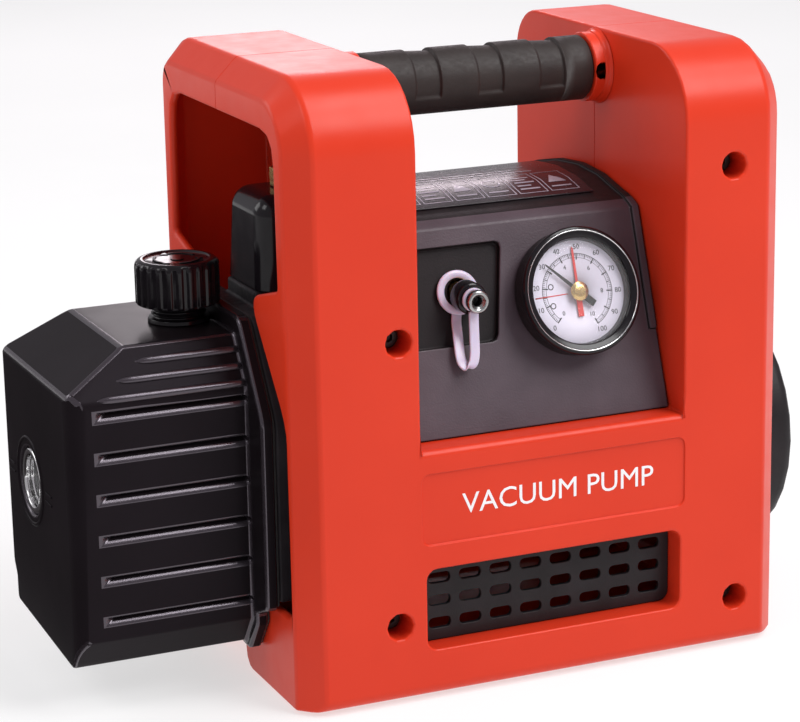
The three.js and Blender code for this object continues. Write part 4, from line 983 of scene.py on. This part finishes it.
def build_sight_glass():
    centre = middle("sight_glass_ring")
    face = Vector((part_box("oil_tank")[0].x, centre.y, centre.z))
    place = placed(face, ALONG, UP)
    ring = turned("sight_glass_ring_skin", [
        (12.0, 0.9), (12.4, 0.5), (14.4, 0.4), (15.1, 1.1), (15.1, 7.6), (11.2, 7.6), (11.2, 4.1),
        (11.7, 3.4), (11.4, 2.9), (12.0, 2.2), (11.8, 1.6), (12.0, 1.3), (12.0, 0.9)], place, 72)
    dress(ring, "pump_body", "chrome", nodes=["sight_glass_ring"])
    lens = turned("sight_glass_lens_skin", [
        (0, 3.6), (6, 3.8), (10.6, 4.4), (10.9, 4.8), (10.9, 7), (0, 7)], place, 72)
    dress(lens, "pump_body", "glass", nodes=["sight_glass_lens"])
    backing = turned("sight_glass_reflector", [
        (0, 8.2), (4.5, 8.2), (5.2, 8.0), (5.5, 8.3), (10.8, 8.3), (10.8, 9.0), (0, 9.0)], place, 72)
    dress(backing, "pump_body", "white_enamel", SIGHT_DARK)
    rim = turned("sight_glass_rim", [
        (18.6, 0.6), (18.9, -0.3), (19.6, -0.6), (20.4, -0.4), (20.9, 0.2), (20.9, 0.6),
        (18.6, 0.6)], place, 96)
    dress(rim, "pump_body", "painted_casting")
    marks = bmesh.new()
    for side in (1, -1):
        for height in (-2.4, 1.6):
            spot = face + Vector((0, side * 29 * MM, height * MM))
            bar = placed(spot, -ALONG, Vector((0, -1, 0)))
            slab(marks, bar, [(-4.6, -0.45), (4.6, -0.45), (4.6, 0.45), (-4.6, 0.45)], -0.2, 0.5)
    dress(rounded(from_bmesh("level_marks", marks), 0.25), "pump_body", "painted_casting")


# ---- Filler cap -----------------------------------------------------------------------------

CAP_FLUTES = 24


def build_filler():
    joint = JOINTS["filler_cap_turn"]
    place = placed(Vector(joint["pos_m"]), UP)
    neck = turned("filler_neck_skin", [
        (6.4, -5), (8.7, -5), (8.7, 0.1), (13.6, 0.1), (13.9, 0.5), (13.6, 2.2), (11.6, 2.6), (11.3, 3.2),
        (12.4, 4.0), (12.4, 4.4), (11.3, 5.2), (11.3, 5.8), (12.4, 6.7), (12.4, 7.1), (11.3, 7.9),
        (11.3, 9.2), (11.4, 17), (6.4, 17), (6.4, -5)], place, 72)
    dress(rounded(neck, 0.2, 2), "pump_body", "gloss_black", nodes=["filler_neck"])
    refined("filler_seal", 0.2)

    def fluted(radius, height, angle):
        if radius < 15.6 or height < 8.9:
            return radius
        fade = smooth_step((27.6 - height) / 1.8)
        wave = math.cos(angle * CAP_FLUTES)
        return radius - 1.0 * fade * smooth_step(0.5 - 1.4 * wave)

    cap = turned("filler_cap_skin", [
        (0, 18.9), (13, 18.9), (13, 8.6), (18.2, 8.6), (18.7, 8.9), (18.9, 9.6), (18.9, 14), (18.9, 20),
        (18.9, 25.2), (18.8, 26.4), (18.3, 27.4), (17.4, 28.2), (16.4, 28.6), (15.2, 28.7), (14.6, 28.4),
        (14.2, 28.1), (8, 28.1), (0, 28.1)], place, 240, fluted)
    dress(cap, "filler_cap", "black_plastic", MATERIALS["gloss_black"], nodes=["filler_cap"])
    build_cap_mark(place)


def build_cap_mark(place):
    """A raised ring of arrows round the cap's top, a plain turning sign, with a drop in the middle."""
    bm = bmesh.new()
    face, top = 28.05, 28.5
    for turn in (20, 140, 260):
        outer = arc_points(10.6, turn, turn + 78, 14)
        inner = arc_points(9.4, turn, turn + 78, 14)
        for i in range(14):
            slab(bm, place, [inner[i], outer[i], outer[i + 1], inner[i + 1]], face, top)
        head = Matrix.Rotation(math.radians(turn + 78), 4, "Z")
        slab(bm, place @ head, [(8.2, 0), (11.8, 0), (10, 3.2)], face, top)
    drop = [(0, 5.4), (-2.4, 1.2), (-3, -0.8), (-2.6, -2.6), (-1.4, -3.8), (0, -4.2), (1.4, -3.8),
            (2.6, -2.6), (3, -0.8), (2.4, 1.2)]
    slab(bm, place, drop, face, top)
    dress(rounded(from_bmesh("filler_cap_mark", bm), 0.12, 2), "filler_cap", "black_plastic",
          MATERIALS["gloss_black"])


# ---- Manifold -------------------------------------------------------------------------------

def build_manifold():
    """A cast block with large rounded edges, narrower at the top."""
    low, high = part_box("inlet_manifold")
    bm = bmesh.new()
    block = bmesh.ops.create_cube(bm, size=1)["verts"]
    centre = (low + high) / 2
    for vertex in block:
        upper = vertex.co.z > 0
        narrow = 3 * MM if upper else 0
        vertex.co = Vector((
            centre.x + vertex.co.x * (high.x - low.x - narrow),
            centre.y + vertex.co.y * (high.y - low.y - 2 * narrow),
            high.z if upper else low.z))
    edges = [e for e in bm.edges if max(v.co.z for v in e.verts) > centre.z]
    bmesh.ops.bevel(bm, geom=edges, offset=9 * MM, segments=8, profile=0.5, affect="EDGES")
    block = from_bmesh("inlet_manifold_skin", bm)
    dress(rounded(block, 0.4, 2, 40), "pump_body", "gloss_black", nodes=["inlet_manifold"])
    refined("inlet_fitting", 0.5)
    refined("manifold_pipe", 0.3)
    corner = Vector((low.x + 31 * MM, low.y - 0.05 * MM, low.z + 1 * MM))
    patch = bmesh.new()
    slab(patch, placed(corner, FRONT), [(0, 0), (8.6, 0), (8.6, 13)], -1.5, 0.3)
    dress(rounded(from_bmesh("manifold_patch", patch), 0.2, 2), "pump_body", "white_enamel", WHITE_PRINT)


# ---- Motor, cover and the parts inside -------------------------------------------------------

def build_motor_end():
    refined("motor_end_cover", 0.9)
    refined("motor_fan", 0.5, segments=2)
    refined("motor_housing", 0.7, segments=2)
    refined("pump_bracket", 1.6)


def build_rear_controls():
    """The switch and the power inlet. The rocker's signs are partly sunk in its curved face."""
    refined("switch_bezel", 0.6)
    refined("switch_rocker", 0.7)
    refined("power_inlet", 0.6)
    low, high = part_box("switch_rocker")
    bm = bmesh.new()
    across = middle("switch_rocker").x
    rear = Vector((0, 1, 0))
    upper = placed(Vector((across, high.y - 1.0 * MM, high.z - 5 * MM)), rear, -ALONG)
    slab(bm, upper, [(-0.6, -2.2), (0.6, -2.2), (0.6, 2.2), (-0.6, 2.2)], 0, 0.75)
    ring = arc_points(2.3, 0, 360, 24)
    hollow = arc_points(1.5, 0, 360, 24)
    lower = placed(Vector((across, high.y - 1.9 * MM, low.z + 4.5 * MM)), rear, -ALONG)
    for i in range(24):
        slab(bm, lower, [hollow[i], ring[i], ring[i + 1], hollow[i + 1]], -0.4, 0.75)
    dress(from_bmesh("rocker_signs", bm), "rocker", "white_enamel", WHITE_PRINT)


def build_inner_parts():
    """Parts that are hidden inside keep their CAD shape, with smooth normals and a material."""
    for name in ("handle_core", "bearing_front", "bearing_rear", "rotor_shaft", "shaft_coupling",
                 "pump_rotor", "pump_vane_a", "pump_vane_b", "pump_end_plate", "pump_stator",
                 "motor_stator"):
        refined(name, 0.3, segments=2)


# ---- Stage ----------------------------------------------------------------------------------

FLOOR_HALF_M = 7.0


def area_light(name, target, azimuth, elevation, distance, size, power, colour=(1, 1, 1)):
    """A soft box seen from the target at that azimuth (0 is the front, 90 the right) and elevation."""
    data = bpy.data.lights.new(name, "AREA")
    data.shape = "RECTANGLE"
    data.size, data.size_y = size
    data.energy = power
    data.color = colour
    turn, rise = math.radians(azimuth), math.radians(elevation)
    away = Vector((math.sin(turn) * math.cos(rise), -math.cos(turn) * math.cos(rise), math.sin(rise)))
    light = bpy.data.objects.new(name, data)
    light.location = target + away * distance
    light.rotation_euler = away.to_track_quat("Z", "Y").to_euler()
    light.visible_camera = False
    bpy.context.scene.collection.objects.link(light)


def build_floor():
    bm = bmesh.new()
    bmesh.ops.create_grid(bm, x_segments=8, y_segments=8, size=FLOOR_HALF_M)
    floor = from_bmesh("floor", bm)
    floor.location.z = -0.0003
    floor.data.materials.append(FLOOR_MATERIAL)


def build_card():
    """A black card beyond the tank, seen by glossy rays only, so that its end doesn't mirror the floor."""
    bm = bmesh.new()
    bmesh.ops.create_grid(bm, x_segments=1, y_segments=1, size=0.5)
    card = from_bmesh("black_card", bm)
    card.scale = (1.1, 2.0, 1)
    card.location = (cad_low.x - 0.557, 0.3, 0.0004)
    card.data.materials.append(RECESS_SHADE_AND_CARD_BLACK)
    card.visible_camera = False
    card.visible_diffuse = False
    card.visible_shadow = False
    card.visible_transmission = False


WORLD_COLOUR = (0.98, 0.94, 1.0, 1)
WORLD_STRENGTH = 0.42
LIGHTS = [                       # name, azimuth, elevation, distance, size, power and colour
    ("front_softbox", 36, 42, 2.2, (1.0, 0.8), 23),
    ("top_softbox", 52, 65, 1.9, (0.8, 0.8), 15),
    ("rear_softbox", 163, 15, 2.4, (0.4, 0.4), 2.2, (1, 0.9, 0.94)),
    ("label_softbox", 155, 24, 2.4, (0.45, 0.2), 2.6, (1, 0.85, 0.92)),
    ("left_softbox", -132, 26, 2.2, (1.0, 1.0), 8),
    ("left_fill", -78, 46, 2.2, (0.8, 0.8), 8),
]


def build_lights():
    world = bpy.data.worlds.new("studio")
    world.use_nodes = True
    background = world.node_tree.nodes["Background"]
    background.inputs["Color"].default_value = WORLD_COLOUR
    background.inputs["Strength"].default_value = WORLD_STRENGTH
    bpy.context.scene.world = world
    target = (cad_low + cad_high) / 2
    for name, *settings in LIGHTS:
        area_light(name, target, *settings)
    bpy.context.scene.view_settings.view_transform = "Standard"


build_shells()
build_small_parts()
build_grip()
build_collars()
build_housing()
build_front_panel()
build_gauge()
build_port()
build_tank()
build_filler()
build_manifold()
build_motor_end()
build_rear_controls()
build_inner_parts()
build_floor()
build_card()
build_lights()
